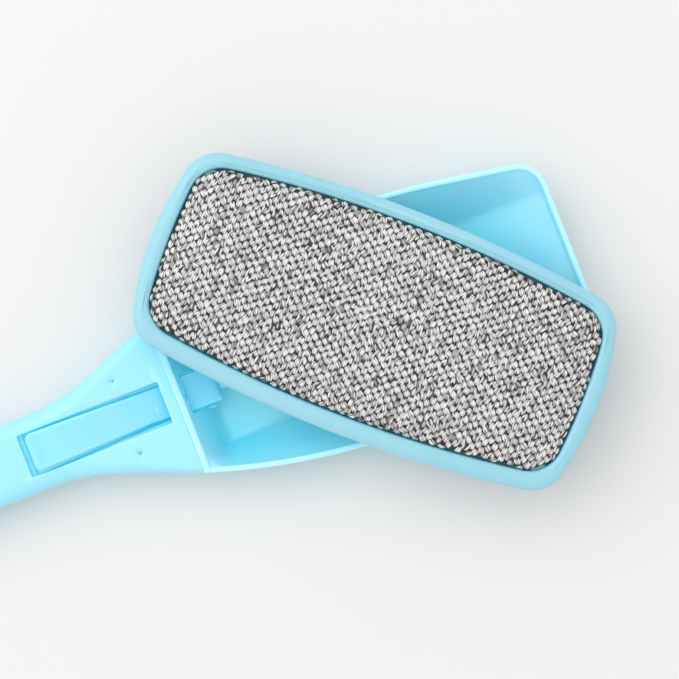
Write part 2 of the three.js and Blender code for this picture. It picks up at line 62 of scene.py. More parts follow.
SPINDLE_R, HUB_R, DISC_R, RUNNING_GAP = 5.0, 9.0, 22.0, 0.1
DISC_Z = (7.9, 9.9)
AXLE_X, AXLE_Z, AXLE_R = -87.0, 9.0, 1.5
SLOT_X, SLOT_HALF, SLOT_CORNER, SLOT_EDGE = (-122.7, -73.6), 7.15, 0.5, 0.4
PIN_X, PIN_Z, PIN_R, PIN_HALF = -59.7, 10.0, 1.3, 7.7
SPRING_X, SPRING_R, SPRING_WIRE = -112.0, 3.0, 0.4
DIMPLE_X, DIMPLE_Y = -87.0, 12.6
COVER_SCREWS = [(DIMPLE_X, DIMPLE_Y), (DIMPLE_X, -DIMPLE_Y), (-142.0, 0.0), (-192.0, 0.0)]

# ---------------------------------------------------------------- camera, lights, floor
SHELL_TILT = math.radians(21.4)          # the shell's axis runs up to the right in the view
VIEW_WIDTH, VIEW_HEIGHT_ABOVE_HEAD = 217.3, 700.0
PIVOT_RIGHT, PIVOT_UP = 11.6, 6.4        # where the pivot lies from the view's centre
SENSOR = 36.0
# lights and table, metres and watts
KEY_REACH, KEY_HEIGHT, KEY_SIZE, KEY_POWER = 1.1, 1.3, 2.0, 12
TOP_REACH, TOP_HEIGHT, TOP_SIZE, TOP_POWER = 0.5, 2.1, 2.6, 6
AIM_HEIGHT = 0.015
AIR_COLOUR, AIR_STRENGTH = (1, 0.995, 0.99), 0.985
TABLE_HALF, TABLE_DROP = 3.0, 1e-4
TABLE_COLOUR, TABLE_ROUGHNESS = (0.70, 0.692, 0.69), 0.7


def make_camera():
    right = Vector((math.cos(SHELL_TILT), -math.sin(SHELL_TILT), 0))
    up = Vector((math.sin(SHELL_TILT), math.cos(SHELL_TILT), 0))
    data = bpy.data.cameras.new("overhead_camera")
    data.sensor_width = SENSOR
    data.lens = SENSOR * VIEW_HEIGHT_ABOVE_HEAD / VIEW_WIDTH
    camera = bpy.data.objects.new("overhead_camera", data)
    bpy.context.collection.objects.link(camera)
    camera.location = (-right * PIVOT_RIGHT - up * PIVOT_UP) * MM
    camera.location.z = (HEAD_TOP_Z + VIEW_HEIGHT_ABOVE_HEAD) * MM
    camera.rotation_euler = (0, 0, -SHELL_TILT)
    bpy.context.scene.camera = camera
    return right, up


def area_light(name, where, size, power):
    data = bpy.data.lights.new(name, "AREA")
    data.shape, data.size, data.energy = "DISK", size, power
    lamp = bpy.data.objects.new(name, data)
    bpy.context.collection.objects.link(lamp)
    lamp.location = where
    lamp.rotation_mode = "QUATERNION"
    lamp.rotation_quaternion = (Vector((0, 0, AIM_HEIGHT)) - Vector(where)).to_track_quat("-Z", "Y")


def make_table():
    """White table just under the object, staged so that it stays out of the export."""
    corners = [(x * TABLE_HALF, y * TABLE_HALF, -TABLE_DROP) for x, y in ((-1, -1), (1, -1), (1, 1), (-1, 1))]
    mesh = bpy.data.meshes.new("table_top")
    mesh.from_pydata(corners, [], [(0, 1, 2, 3)])
    mesh.materials.append(material("white_table", TABLE_COLOUR, roughness=TABLE_ROUGHNESS)[0])
    table = bpy.data.objects.new("table_top", mesh)
    bpy.context.collection.objects.link(table)


def make_studio():
    right, up = make_camera()
    key_way = (up * 0.55 - right).normalized()
    area_light("key_softbox", key_way * KEY_REACH + Vector((0, 0, KEY_HEIGHT)), KEY_SIZE, KEY_POWER)
    area_light("top_softbox", up * TOP_REACH + Vector((0, 0, TOP_HEIGHT)), TOP_SIZE, TOP_POWER)
    world = bpy.data.worlds.new("studio_air")
    bpy.context.scene.world = world
    world.use_nodes = True
    air = world.node_tree.nodes["Background"].inputs
    air["Color"].default_value = (*AIR_COLOUR, 1)
    air["Strength"].default_value = AIR_STRENGTH
    make_table()
    bpy.context.scene.view_settings.view_transform = "Standard"


# ---------------------------------------------------------------- node helpers and shared effects
def put(tree, kind, inputs=None, **settings):
    node = tree.nodes.new(kind)
    for key, value in settings.items():
        setattr(node, key, value)
    for key, value in (inputs or {}).items():
        if isinstance(value, bpy.types.NodeSocket):
            tree.links.new(value, node.inputs[key])
        else:
            node.inputs[key].default_value = value
    return node


def group(name, inputs, outputs):
    tree = bpy.data.node_groups.new(name, "ShaderNodeTree")
    for label, kind, default in inputs:
        socket = tree.interface.new_socket(label, in_out="INPUT", socket_type=kind)
        socket.default_value = default
    for label, kind in outputs:
        tree.interface.new_socket(label, in_out="OUTPUT", socket_type=kind)
    return tree, tree.nodes.new("NodeGroupInput").outputs, tree.nodes.new("NodeGroupOutput").inputs


FLOAT = "NodeSocketFloat"


def maths(tree, operation, a, b, clamp=False):
    return put(tree, "ShaderNodeMath", {0: a, 1: b}, operation=operation, use_clamp=clamp).outputs[0]


def remap(tree, value, low, high, to_low=0.0, to_high=1.0):
    return put(tree, "ShaderNodeMapRange", {0: value, 1: low, 2: high, 3: to_low, 4: to_high}).outputs[0]


def mix_colour(tree, factor, a, b):
    """Blend of two colours, each a socket or a plain (r, g, b)."""
    a, b = (v if isinstance(v, bpy.types.NodeSocket) else (*v, 1) for v in (a, b))
    return put(tree, "ShaderNodeMix", {0: factor, 6: a, 7: b}, data_type="RGBA").outputs[2]


def noise(tree, scale, detail, distortion=0.0):
    where = put(tree, "ShaderNodeTexCoord").outputs["Object"]
    return put(tree, "ShaderNodeTexNoise", {"Vector": where, "Scale": scale, "Detail": detail,
                                            "Distortion": distortion}).outputs[0]


def cells(tree, scale):
    where = put(tree, "ShaderNodeTexCoord").outputs["Object"]
    return put(tree, "ShaderNodeTexVoronoi", {"Vector": where, "Scale": scale}).outputs["Distance"]


def edge_wear_group():
    """Mask of rubbed outer edges: where the surface is convex, broken up by noise."""
    tree, given, out = group("edge_wear", [("Amount", FLOAT, 1.0), ("Breakup", FLOAT, 0.5)],
                             [("Mask", FLOAT)])
    convex = remap(tree, put(tree, "ShaderNodeNewGeometry").outputs["Pointiness"], 0.505, 0.56)
    patchy = remap(tree, noise(tree, 900.0, 3.0), 0.35, 0.65, 0.4, 1.0)
    broken = maths(tree, "MULTIPLY", maths(tree, "MULTIPLY", convex, patchy), given["Breakup"])
    even = maths(tree, "MULTIPLY", convex, maths(tree, "SUBTRACT", 1.0, given["Breakup"]))
    kept = maths(tree, "ADD", broken, even)
    tree.links.new(maths(tree, "MULTIPLY", kept, given["Amount"], clamp=True), out["Mask"])
    return tree


def moulding_group():
    """Injection-moulded skin: flow, grain and ripple, given as a shade, a roughness and a height."""
    tree, given, out = group("moulded_skin", [("Flow Scale", FLOAT, 30.0), ("Grain Scale", FLOAT, 2600.0)],
                             [("Shade", FLOAT), ("Roughness", FLOAT), ("Height", FLOAT)])
    flow = noise(tree, given["Flow Scale"], 2.0, 0.6)
    grain = noise(tree, given["Grain Scale"], 4.0)
    ripple = noise(tree, 140.0, 1.0)
    rough = maths(tree, "ADD", remap(tree, ripple, 0.3, 0.7, -0.03, 0.04),
                  remap(tree, grain, 0.3, 0.7, -0.02, 0.02))
    height = maths(tree, "ADD", maths(tree, "MULTIPLY", grain, 0.25), maths(tree, "MULTIPLY", ripple, 0.6))
    tree.links.new(remap(tree, flow, 0.3, 0.7), out["Shade"])
    tree.links.new(rough, out["Roughness"])
    tree.links.new(height, out["Height"])
    return tree


def dust_group():
    """Specks of lint and dust lying on faces that look up."""
    tree, given, out = group("settled_dust", [("Amount", FLOAT, 0.3)], [("Mask", FLOAT)])
    normal = put(tree, "ShaderNodeNewGeometry").outputs["Normal"]
    up = put(tree, "ShaderNodeSeparateXYZ", {0: normal}).outputs["Z"]
    speck = remap(tree, cells(tree, 420.0), 0.14, 0.04)
    patch = remap(tree, noise(tree, 60.0, 2.0), 0.52, 0.68)
    lying = maths(tree, "MULTIPLY", maths(tree, "MULTIPLY", speck, patch), remap(tree, up, 0.3, 0.9))
    tree.links.new(maths(tree, "MULTIPLY", lying, given["Amount"], clamp=True), out["Mask"])
    return tree


EFFECTS = {"wear": edge_wear_group(), "skin": moulding_group(), "dust": dust_group()}


def effect(tree, key, **inputs):
    node = tree.nodes.new("ShaderNodeGroup")
    node.node_tree = EFFECTS[key]
    for label, value in inputs.items():
        node.inputs[label.replace("_", " ")].default_value = value
    return node.outputs


def material(name, base, **sockets):
    made = bpy.data.materials.new(name)
    made.use_nodes = True
    shader = made.node_tree.nodes["Principled BSDF"]
    shader.inputs["Base Color"].default_value = (*base, 1)
    for label, value in sockets.items():
        shader.inputs[label.replace("_", " ").title().replace("Ior", "IOR")].default_value = value
    return made, made.node_tree, shader


def surface(tree, shader, colour, roughness, height, strength, depth):
    """Joins a colour, a roughness and a fine relief, its depth in metres, to a material's shader."""
    relief = put(tree, "ShaderNodeBump", {"Height": height, "Strength": strength, "Distance": depth})
    tree.links.new(colour, shader.inputs["Base Color"])
    tree.links.new(roughness, shader.inputs["Roughness"])
    tree.links.new(relief.outputs[0], shader.inputs["Normal"])


PAINTED_HOLLOW_SHADE = (0.12, 0.9, 0.98)         # painted shade: hollows turn a deeper tint where the surroundings close in
PAINTED_HOLLOW_GLOW = (0.1, 0.9, 0.78)         # painted glow: emission in this tint is added in the hollows
PAINTED_SHADE_REACH = 0.03                     # metres over which a hollow counts as closed in, for the painted shade and glow
DUST_GREY = (0.86, 0.86, 0.84)


def tinted(base, tint):
    return tuple(b * t for b, t in zip(base, tint, strict=True))


def blue_plastic(name, base, deep, pale, roughness=0.34, glow=0.24, shade=(0.3, 0.97), shade_tint=PAINTED_HOLLOW_SHADE):
    """Glossy, slightly milky moulded plastic: base colour, a deeper flow tone and a paler worn edge.

    The base turns to a painted shade tint as the surroundings close in over the shade range, and a painted
    glow is added there.
    """
    made, tree, shader = material(name, base, roughness=roughness, ior=1.49, subsurface_weight=0.45,
                                  subsurface_scale=0.0035, coat_weight=0.25, coat_roughness=0.2)
    shader.inputs["Subsurface Radius"].default_value = (0.2, 0.85, 1.0)
    skin = effect(tree, "skin", Flow_Scale=22.0, Grain_Scale=2600.0)
    edges = effect(tree, "wear", Amount=0.35, Breakup=0.35)["Mask"]
    specks = effect(tree, "dust", Amount=0.22)["Mask"]
    open_air = put(tree, "ShaderNodeAmbientOcclusion", {"Distance": PAINTED_SHADE_REACH}, samples=6).outputs["AO"]
    # painted glow: emission in a tint of the base, fading out where the plastic is open to the air
    shader.inputs["Emission Color"].default_value = (*tinted(base, PAINTED_HOLLOW_GLOW), 1)
    tree.links.new(remap(tree, open_air, 0.05, 0.95, glow, 0.0), shader.inputs["Emission Strength"])
    # painted shade: the base turns to its shade tint in hollows
    shaded_hollows = mix_colour(tree, remap(tree, open_air, *shade), tinted(base, shade_tint), base)
    # the worn colour carries the painted shade, with paler worn edges over it
    worn = mix_colour(tree, edges, mix_colour(tree, skin["Shade"], shaded_hollows, deep), pale)
    rough = maths(tree, "ADD", skin["Roughness"], maths(tree, "MULTIPLY", edges, 0.12))
    rough = maths(tree, "ADD", maths(tree, "ADD", rough, roughness), maths(tree, "MULTIPLY", specks, 0.4))
    surface(tree, shader, mix_colour(tree, specks, worn, DUST_GREY), rough, skin["Height"], 0.16, 0.00006)
    return made


def turned_steel(name, base, roughness, mark_scale):
    """Steel with fine working marks, brighter worn edges and a slightly dulled tone in patches."""
    made, tree, shader = material(name, base, metallic=1.0, roughness=roughness)
    marks = noise(tree, mark_scale, 5.0)
    dulled = mix_colour(tree, remap(tree, noise(tree, 160.0, 3.0), 0.4, 0.7), base, tinted(base, (0.72,) * 3))
    edges = effect(tree, "wear", Amount=0.6, Breakup=0.3)["Mask"]
    surface(tree, shader, mix_colour(tree, edges, dulled, (0.85, 0.85, 0.85)),
            remap(tree, marks, 0.3, 0.7, roughness - 0.08, roughness + 0.12), marks, 0.15, 0.00003)
    return made


def white_acetal():
    made, tree, shader = material("white_acetal", (0.84, 0.84, 0.8), roughness=0.42, ior=1.48,
                                  subsurface_weight=0.1, subsurface_scale=0.001)
    skin = effect(tree, "skin", Flow_Scale=60.0, Grain_Scale=2200.0)
    specks = effect(tree, "dust", Amount=0.2)["Mask"]
    toned = mix_colour(tree, skin["Shade"], (0.86, 0.86, 0.82), (0.78, 0.78, 0.73))
    surface(tree, shader, mix_colour(tree, specks, toned, (0.4, 0.4, 0.4)),
            maths(tree, "ADD", skin["Roughness"], 0.42), skin["Height"], 0.2, 0.00006)
    return made


def grey_board():
    made, tree, shader = material("grey_board", (0.5, 0.51, 0.5), roughness=0.8)
    fibre = noise(tree, 1500.0, 6.0, 1.5)
    surface(tree, shader, mix_colour(tree, fibre, (0.36, 0.36, 0.35), (0.62, 0.62, 0.6)),
            remap(tree, fibre, 0.3, 0.7, 0.7, 0.92), fibre, 0.4, 0.0001)
    return made


def cream_foam():
    made, tree, shader = material("cream_foam", (0.75, 0.7, 0.6), roughness=0.95)
    bubbles = cells(tree, 1400.0)
    surface(tree, shader, mix_colour(tree, bubbles, (0.5, 0.45, 0.36), (0.86, 0.81, 0.7)),
            remap(tree, bubbles, 0.0, 0.6, 0.98, 0.86), bubbles, 0.6, 0.0003)
    return made


def cloth_ground():
    """Ground between the tufts: dark and matt, with a fine uneven yarn."""
    made, tree, shader = material("cloth_ground", (0.06, 0.055, 0.05), roughness=0.95)
    yarn = noise(tree, 2400.0, 4.0)
    surface(tree, shader,
            mix_colour(tree, remap(tree, yarn, 0.35, 0.65), (0.012, 0.011, 0.01), (0.06, 0.055, 0.05)),
            remap(tree, yarn, 0.3, 0.7, 0.85, 1.0), yarn, 0.8, 0.0002)
    return made


def silver_yarn():
    """Bright filament yarn: fine streaks run along each strand, each strand has its own tone, and painted
    shade darkens it towards its roots and edges.
    """
    made, tree, shader = material("silver_yarn", (0.7, 0.68, 0.67), roughness=0.4, sheen_weight=0.2,
                                  sheen_roughness=0.4)
    tone, across, painted_root_shade = (put(tree, "ShaderNodeAttribute", attribute_name=label).outputs["Fac"]
                          for label in ("tuft_tone", "tuft_across", "tuft_painted_shade"))
    strand = put(tree, "ShaderNodeCombineXYZ", {0: maths(tree, "MULTIPLY", across, 1.2),
                                                1: maths(tree, "MULTIPLY", tone, 61.0)}).outputs[0]
    streak = put(tree, "ShaderNodeTexNoise", {"Vector": strand, "Scale": 1.0, "Detail": 2.0}).outputs[0]
    base = mix_colour(tree, tone, (0.05, 0.047, 0.046), (1.0, 0.98, 0.97))
    dim = mix_colour(tree, 0.65, base, (0.04, 0.035, 0.035))
    lined = mix_colour(tree, remap(tree, streak, 0.4, 0.6), dim, base)
    # painted shade: strands darken to near black towards their roots and along their edges
    surface(tree, shader, mix_colour(tree, painted_root_shade, lined, (0.012, 0.011, 0.01)),
            remap(tree, streak, 0.3, 0.7, 0.5, 0.28), streak, 0.4, 0.00006)
    return made


# ---------------------------------------------------------------- mesh helpers (millimetres in, metres out)
def piece(name, points, faces, finish=None):
    mesh = bpy.data.meshes.new(name)
    mesh.from_pydata((np.asarray(points, float) * MM).tolist(), [], [list(map(int, f)) for f in faces])
    mesh.validate()
    mesh.update()
    made = bpy.data.objects.new(name, mesh)
    bpy.context.collection.objects.link(made)
    if finish is not None:
        mesh.materials.append(finish)
    soften(made)
    return made


def soften(thing, sharp=32):
    mesh = thing.data
    mesh.polygons.foreach_set("use_smooth", [True] * len(mesh.polygons))
    mesh.set_sharp_from_angle(angle=math.radians(sharp))
    mesh.update()


def loft(rings, closed=False):
    """Faces through rings of equal point count. Open lofts get end caps; closed ones join end to start."""
    rings = [np.asarray(r, float) for r in rings]
    n, count = len(rings[0]), len(rings)
    points = np.concatenate(rings)
    faces = []
    for r in range(count if closed else count - 1):
        s = (r + 1) % count
        faces += [(r * n + i, r * n + (i + 1) % n, s * n + (i + 1) % n, s * n + i) for i in range(n)]
    if not closed:
        faces.append(tuple(reversed(range(n))))
        faces.append(tuple(range((count - 1) * n, count * n)))
    return points, outward(points, faces)


def outward(points, faces):
    """The faces turned so that they look out of the solid they close."""
    volume = 0.0
    for f in faces:
        a = points[f[0]]
        for i in range(1, len(f) - 1):
            volume += np.dot(a, np.cross(points[f[i]], points[f[i + 1]]))
    return faces if volume > 0 else [tuple(reversed(f)) for f in faces]


def lathe(profile, x=0.0, y=0.0, segments=64):
    """A turned solid at x, y; the profile is a closed run of (radius, z), or runs from axis to axis."""
    solid = profile[0][0] == 0
    angles = np.linspace(0, 2 * math.pi, segments, endpoint=False)
    rings = [[(x + r * math.cos(a), y + r * math.sin(a), z) for a in angles]
             for r, z in (profile[1:-1] if solid else profile)]
    return loft(rings, closed=not solid)


def bar_along_y(r, x, z, y0, y1, rounding=0.0, segments=48):
    """A round bar with rounded ends."""
    steps = 5 if rounding else 1
    ends = []
    for k in range(steps + 1):
        a = math.pi / 2 * k / steps
        ends.append((r - rounding * (1 - math.sin(a)), rounding * (1 - math.cos(a))))
    profile = [(rr, y0 + d) for rr, d in ends] + [(rr, y1 - d) for rr, d in reversed(ends)]
    angles = np.linspace(0, 2 * math.pi, segments, endpoint=False)
    rings = [[(x + rr * math.cos(a), y, z + rr * math.sin(a)) for a in angles] for rr, y in profile]
    return loft(rings)


def block(x0, x1, y0, y1, z0, z1):
    return loft([[(x0, y0, z), (x1, y0, z), (x1, y1, z), (x0, y1, z)] for z in (z0, z1)])


def post(r, z0, z1, x=0.0, y=0.0, segments=48):
    return lathe([(0, z0), (r, z0), (r, z1), (0, z1)], x, y, segments)


def cut(body, *solids, operation="DIFFERENCE"):
    """Joins or cuts solids, each (points, faces), with the body, and keeps the result as its mesh."""
    for points, faces in solids:
        tool = piece("tool", points, faces)
        modifier = body.modifiers.new("tool", "BOOLEAN")
        modifier.operation, modifier.solver, modifier.object = operation, "MANIFOLD", tool
        bpy.context.view_layer.update()
        made = bpy.data.meshes.new_from_object(body.evaluated_get(bpy.context.evaluated_depsgraph_get()))
        if not made.polygons:
            raise RuntimeError(f"{body.name}: a boolean left nothing")
        body.modifiers.clear()
        old, body.data = body.data, made
        bpy.data.meshes.remove(old)
        bpy.data.objects.remove(tool)
    return body


def add(body, *solids):
    return cut(body, *solids, operation="UNION")


def settle(thing, body, slot, *nodes, sharp=32):
    """Shades a finished piece, and says what it rides on and stands for; the slot it is given is not used."""
    soften(thing, sharp)
    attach(thing, body)
    if nodes:
        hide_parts(*nodes)
    return thing


def around(count, r, start=0.0):
    return [(r * math.cos(start + i * 2 * math.pi / count), r * math.sin(start + i * 2 * math.pi / count))
            for i in range(count)]


def quarter_turn(count):
    return np.linspace(0, math.pi / 2, count)


def quad_bezier(p0, p1, p2, steps):
    t = np.linspace(0, 1, steps + 1)[:, None]
    p0, p1, p2 = map(np.asarray, (p0, p1, p2))
    return ((1 - t) ** 2 * p0 + 2 * t * (1 - t) * p1 + t ** 2 * p2).tolist()


# ---------------------------------------------------------------- shell outline and sections
def half_width(x, inset=0.0):
    """Half width of the shell at x: bowed sides, round tip corners, neck and handle."""
    side_r, side_y = SHELL_SIDE_RADIUS - inset, SHELL_HALF_WIDTH - SHELL_SIDE_RADIUS
    lean = math.asin(SIDE_STRAIGHT_X / SHELL_SIDE_RADIUS)
    flat_x = side_r * math.sin(lean)
    corner_r = max(TIP_CORNER - inset, 3.0)
    corner_x = TIP_X - inset - corner_r

    def straight(at):
        return side_y + side_r * math.cos(lean) - math.tan(lean) * (at - flat_x)

    if x > corner_x + corner_r * math.sin(lean):
        corner_y = straight(corner_x) - corner_r / math.cos(lean)
        return corner_y + math.sqrt(max(corner_r ** 2 - (x - corner_x) ** 2, 0.0))
    if x > flat_x:
        return straight(x)
    if x >= RIDGE_X:
        return side_y + math.sqrt(side_r ** 2 - x ** 2)
    ridge_half = side_y + math.sqrt(SHELL_SIDE_RADIUS ** 2 - RIDGE_X ** 2)
    if x > NECK_END_X:
        span = RIDGE_X - NECK_END_X
        t = (RIDGE_X - x) / span
        fall = ridge_half * (2 * t ** 3 - 3 * t ** 2 + 1) - NECK_SLOPE * span * (t ** 3 - 2 * t ** 2 + t)
        return fall + HANDLE_HALF_WIDTH * (3 * t ** 2 - 2 * t ** 3) - inset
    t = min(max((HANDLE_END_X + HANDLE_ROUND - x) / (HANDLE_ROUND + 0.4), 0.0), 1.0)
    return (HANDLE_HALF_WIDTH - inset) * (1 - t ** 2.6) ** (1 / 2.6)


def ring_at(x, half):
    """A section across the shell from its half, which runs from the middle out and back."""
    left = [(x, y, z) for y, z in half]
    return left + [(x, -y, z) for y, z in reversed(half)]


def ramp(x, start, rise, power):
    return rise * max((x - start) / (TIP_X - WALL - start), 0.0) ** power


def outer_base(x):
    """Height of the shell's underside: it climbs towards the tip and the handle's end."""
    end = max((HANDLE_END_X + 12 - x) / 12, 0.0)
    return ramp(x, RAMP_START_X + 3, 10.5, 2.4) + 5 * end ** 2.2


def floor_height(x):
    """Height of the tray's floor at x, past where its ramp starts."""
    return WALL + ramp(x, RAMP_START_X, 12.5, 2.2)


def easing(x0, x1, count, closer=1.8):
    """Stations from x0 to x1 that crowd towards x1."""
    t = np.linspace(0, 1, count)
    return (x0 + (x1 - x0) * (1 - (1 - t) ** closer)).tolist()


def rounded_end(x, end, r):
    """How far an edge has fallen near an end that is rounded with radius r."""
    d = max(r - abs(end - x), 0.0)
    return r - math.sqrt(max(r * r - d * d, 0.0))


LIP = 0.8                               # round of the tray's rim
SEAM = 0.03                             # open line between the shell's ridge and the cover
INWARD = (0.8, 0.6, 0.4, 0.2, 0.05)     # places across a flat, from its edge to the middle


def shell_ring(x):
    """Section of the shell's outside: rounded rim, bulged side, soft crease, flat back."""
    rim, base = half_width(x), outer_base(x)
    drop = rounded_end(x, TIP_X, LIP) + rounded_end(x, HANDLE_END_X, LIP)
    top = RIM_Z - drop
    crease = min(FLOOR_CREASE + WALL, rim * 0.98 - 4 * min(rim / HANDLE_HALF_WIDTH, 1))
    lip = min(LIP, rim * 0.3)
    corner = [(rim - lip + lip * math.sin(a), top - lip + lip * math.cos(a)) for a in quarter_turn(6)]
    knee_z = base + 0.7
    bend = (crease + 0.7 * (rim - crease), knee_z + 0.33 * (top - lip - knee_z))
    wall = quad_bezier((rim, top - lip), bend, (crease, knee_z), 16)
    foot = quad_bezier((crease, knee_z), (crease * 0.965, base + 0.06), (crease * 0.9, base), 5)
    floor = [(crease * 0.9 * s, base) for s in INWARD]
    return ring_at(x, [(0.05 * rim, top), (0.5 * rim, top), *corner, *wall[1:], *foot[1:], *floor])


def tray_ring(x, floor):
    """Section of the tray's hollow, flared at the rim so that the lip comes out rounded."""
    rim = half_width(min(x, TIP_X - WALL), WALL)
    crease = min(FLOOR_CREASE, rim - 3.5)
    start_z = max(RIM_Z - LIP, floor + 0.02)
    flare = [(rim + LIP - LIP * math.cos(a), RIM_Z - LIP + LIP * math.sin(a))
             for a in np.linspace(math.pi / 2, 0, 6)]
    flare = [(y, max(z, start_z) if z < RIM_Z else z) for y, z in flare]
    knee_z = floor + min(0.8, (start_z - floor) * 0.4)
    bend = (crease + 0.55 * (rim - crease), knee_z + 0.4 * (start_z - knee_z))
    wall = quad_bezier((rim, start_z), bend, (crease, knee_z), 16)
    toe = (crease * 0.955, floor + 0.1 * (knee_z - floor))
    foot = quad_bezier((crease, knee_z), toe, (crease * 0.86, floor), 5)
    across = [(crease * 0.86 * s, floor) for s in INWARD]
    return ring_at(x, [(rim + LIP, RIM_Z + 4), *flare, *wall[1:], *foot[1:], *across])


def tray_hollow():
    """The tray's inside: sloped shoulder, soft foot, flat floor, curved ramp and a rounded lip all round."""
    rings = []
    for a in np.linspace(0, math.pi / 2, 5):
        rings.append(tray_ring(RIDGE_X - LIP + LIP * math.sin(a) - 1e-3, RIM_Z - LIP + LIP * math.cos(a)))
    slope = (RIM_Z - LIP - WALL) / (SHOULDER_FOOT_X - RIDGE_X)
    for x in np.linspace(RIDGE_X, SHOULDER_FOOT_X - 1.5, 14)[1:]:
        rings.append(tray_ring(x, WALL + slope * (SHOULDER_FOOT_X - x)))
    x_in, x_out = SHOULDER_FOOT_X - 1.5, SHOULDER_FOOT_X + 2.5
    for px, pz in quad_bezier((x_in, WALL + slope * 1.5), (SHOULDER_FOOT_X, WALL), (x_out, WALL), 7)[1:]:
        rings.append(tray_ring(px, pz))
    end = TIP_X - WALL
    xs = np.linspace(x_out, RAMP_START_X, 26)[1:].tolist() + easing(RAMP_START_X, end - 0.6, 36)[1:]
    for x in xs:
        rings.append(tray_ring(x, floor_height(x)))
    last = floor_height(end - 0.6)
    for px, pz in quad_bezier((end - 0.6, last), (end - 0.1, last + 0.5), (end, RIM_Z - LIP), 6)[1:]:
        rings.append(tray_ring(px, pz))
    for a in np.linspace(math.pi / 2, 0, 5)[1:]:
        rings.append(tray_ring(end + LIP - LIP * math.sin(a) + 1e-3, RIM_Z - LIP + LIP * math.cos(a)))
    return loft(rings)


def channel_hollow():
    """The space inside the neck and the handle, which the cover closes."""
    xs = [*reversed(easing(-196, HANDLE_END_X + 3, 10)), *np.linspace(-190, -72, 40)]
    rings = []
    for x in xs:
        rim = half_width(x, WALL)
        side, crease = rim - 0.6, min(FLOOR_CREASE, rim * 0.97 - 2.6 * min(rim / 10, 1))
        base = outer_base(x) + WALL
        bend = (crease + 0.7 * (side - crease), base + 5.5)
        wall = quad_bezier((side, RIM_Z), bend, (crease, base + 0.5), 10)
        rings.append(ring_at(x, [(rim, RIM_Z + 2), *wall, (crease * 0.9, base)]))
    return loft(rings)


def side_profile(outline, y0, y1):
    return loft([[(x, y, z) for x, z in outline] for y in (y0, y1)])


def axle_cheeks(shell):
    """Two cheeks that hold the lever's axle in open-topped slots."""
    reach = AXLE_R + 0.3
    for y0, y1 in ((-9.7, -7.2), (7.2, 9.7)):
        add(shell, block(AXLE_X - 3, AXLE_X + 3, y0, y1, 1.5, AXLE_Z + 1.6))
        cut(shell, bar_along_y(reach, AXLE_X, AXLE_Z, y0 - 0.5, y1 + 0.5))
        cut(shell, block(AXLE_X - AXLE_R - 0.3, AXLE_X + reach, y0 - 0.5, y1 + 0.5, AXLE_Z, AXLE_Z + 3))


def screw_towers(shell):
    """Towers for the screws that close the handle, each with a sunk hole from below."""
    sink = [(0, -1), (2.9, -1), (2.35, 0.02), (2.15, 0.3), (2.1, 1.9), (0, 1.9)]
    for x, y in COVER_SCREWS:
        add(shell, post(2.7, 1.2, PARTING_Z - 0.02, x, y))
    for x, y in COVER_SCREWS:
        cut(shell, post(1.4, -1, RIM_Z, x, y), lathe(sink, x, y, 48))


def back_shell(finish):
    xs = [*reversed(easing(-196, HANDLE_END_X, 26)), *np.linspace(-190, RIDGE_X, 66),
          *np.linspace(-65, 50, 60), *easing(51.5, TIP_X, 34)]
    shell = piece("tray_shell", *loft([shell_ring(x) for x in xs]), finish)
    cut(shell, block(HANDLE_END_X - 2, COVER_START_X + SEAM, -45, 45, PARTING_Z, RIM_Z + 3))
    cut(shell, tray_hollow())
    cut(shell, channel_hollow())
    # room behind the ridge's wall, the opening for the lever's tail, and a notch over it
    cut(shell, side_profile([(-73, WALL), (-62.8, WALL), (-68.9, 15.6), (-73, 15.6)], -15, 15))
    cut(shell, block(-72, -57, -6.9, 6.9, 7.4, 15.3))
    cut(shell, block(-70.5, -64, -2.2, 0.1, 14.9, 16.5))
    foot_r = FLANGE_R + 1.2
    add(shell, lathe([(0, 1.5), (foot_r, 1.5), (foot_r, 2.0), (FLANGE_R + 0.5, 2.2), (FLANGE_R, 2.8),
                      (FLANGE_R, BOSS_TOP_Z - 0.3), (FLANGE_R - 0.3, BOSS_TOP_Z), (0, BOSS_TOP_Z)],
                     segments=96))
    add(shell, post(2.1, 1.5, 4.8, SPRING_X))
    axle_cheeks(shell)
    screw_towers(shell)
    for x, y in around(3, BASE_SCREW_R, math.pi / 2):
        cut(shell, post(1.25, 1, BOSS_TOP_Z + 1, x, y, 32))
    return settle(shell, "shell", "shell_plastic", "back_shell")


def cover_ring(x, drop=0.0, end_drop=0.0):
    """Section of the cover's outside: its shoulders roll over more in the narrow part of the neck."""
    rim = half_width(x)
    narrow = min(max((rim - HANDLE_HALF_WIDTH) / 14.4, 0.0), 1.0)
    roll = 5.4 - 3.2 * narrow
    top = DECK_Z - drop - end_drop
    low = PARTING_Z + PARTING_GAP
    side_top = low + 1.9
    over = []
    for a in np.linspace(0, math.pi / 2, 14)[1:]:
        y = rim - min(roll, rim * 0.8) * (1 - math.cos(a))
        over.append((y, side_top + (top - side_top) * math.sin(a)))
    y_end = over[-1][0]
    across = [(y_end * s, top) for s in (0.85, 0.65, 0.4, 0.15)]
    return ring_at(x, [(rim - 0.75, low), (rim - 0.3, low + 0.8), (rim, side_top), *over, *across])


def slot_ring(z, grow):
    """Outline of the lever's slot at height z: a rectangle with round corners, grown outwards."""
    (x0, x1), r = SLOT_X, SLOT_CORNER + grow
    points = []
    for i, (sx, sy) in enumerate(((1, 1), (-1, 1), (-1, -1), (1, -1))):
        mid_x = (x1 if sx > 0 else x0) + grow * sx - r * sx
        mid_y = SLOT_HALF * sy + grow * sy - r * sy
        for a in i * math.pi / 2 + quarter_turn(6):
            points.append((mid_x + r * math.cos(a), mid_y + r * math.sin(a), z))
    return points


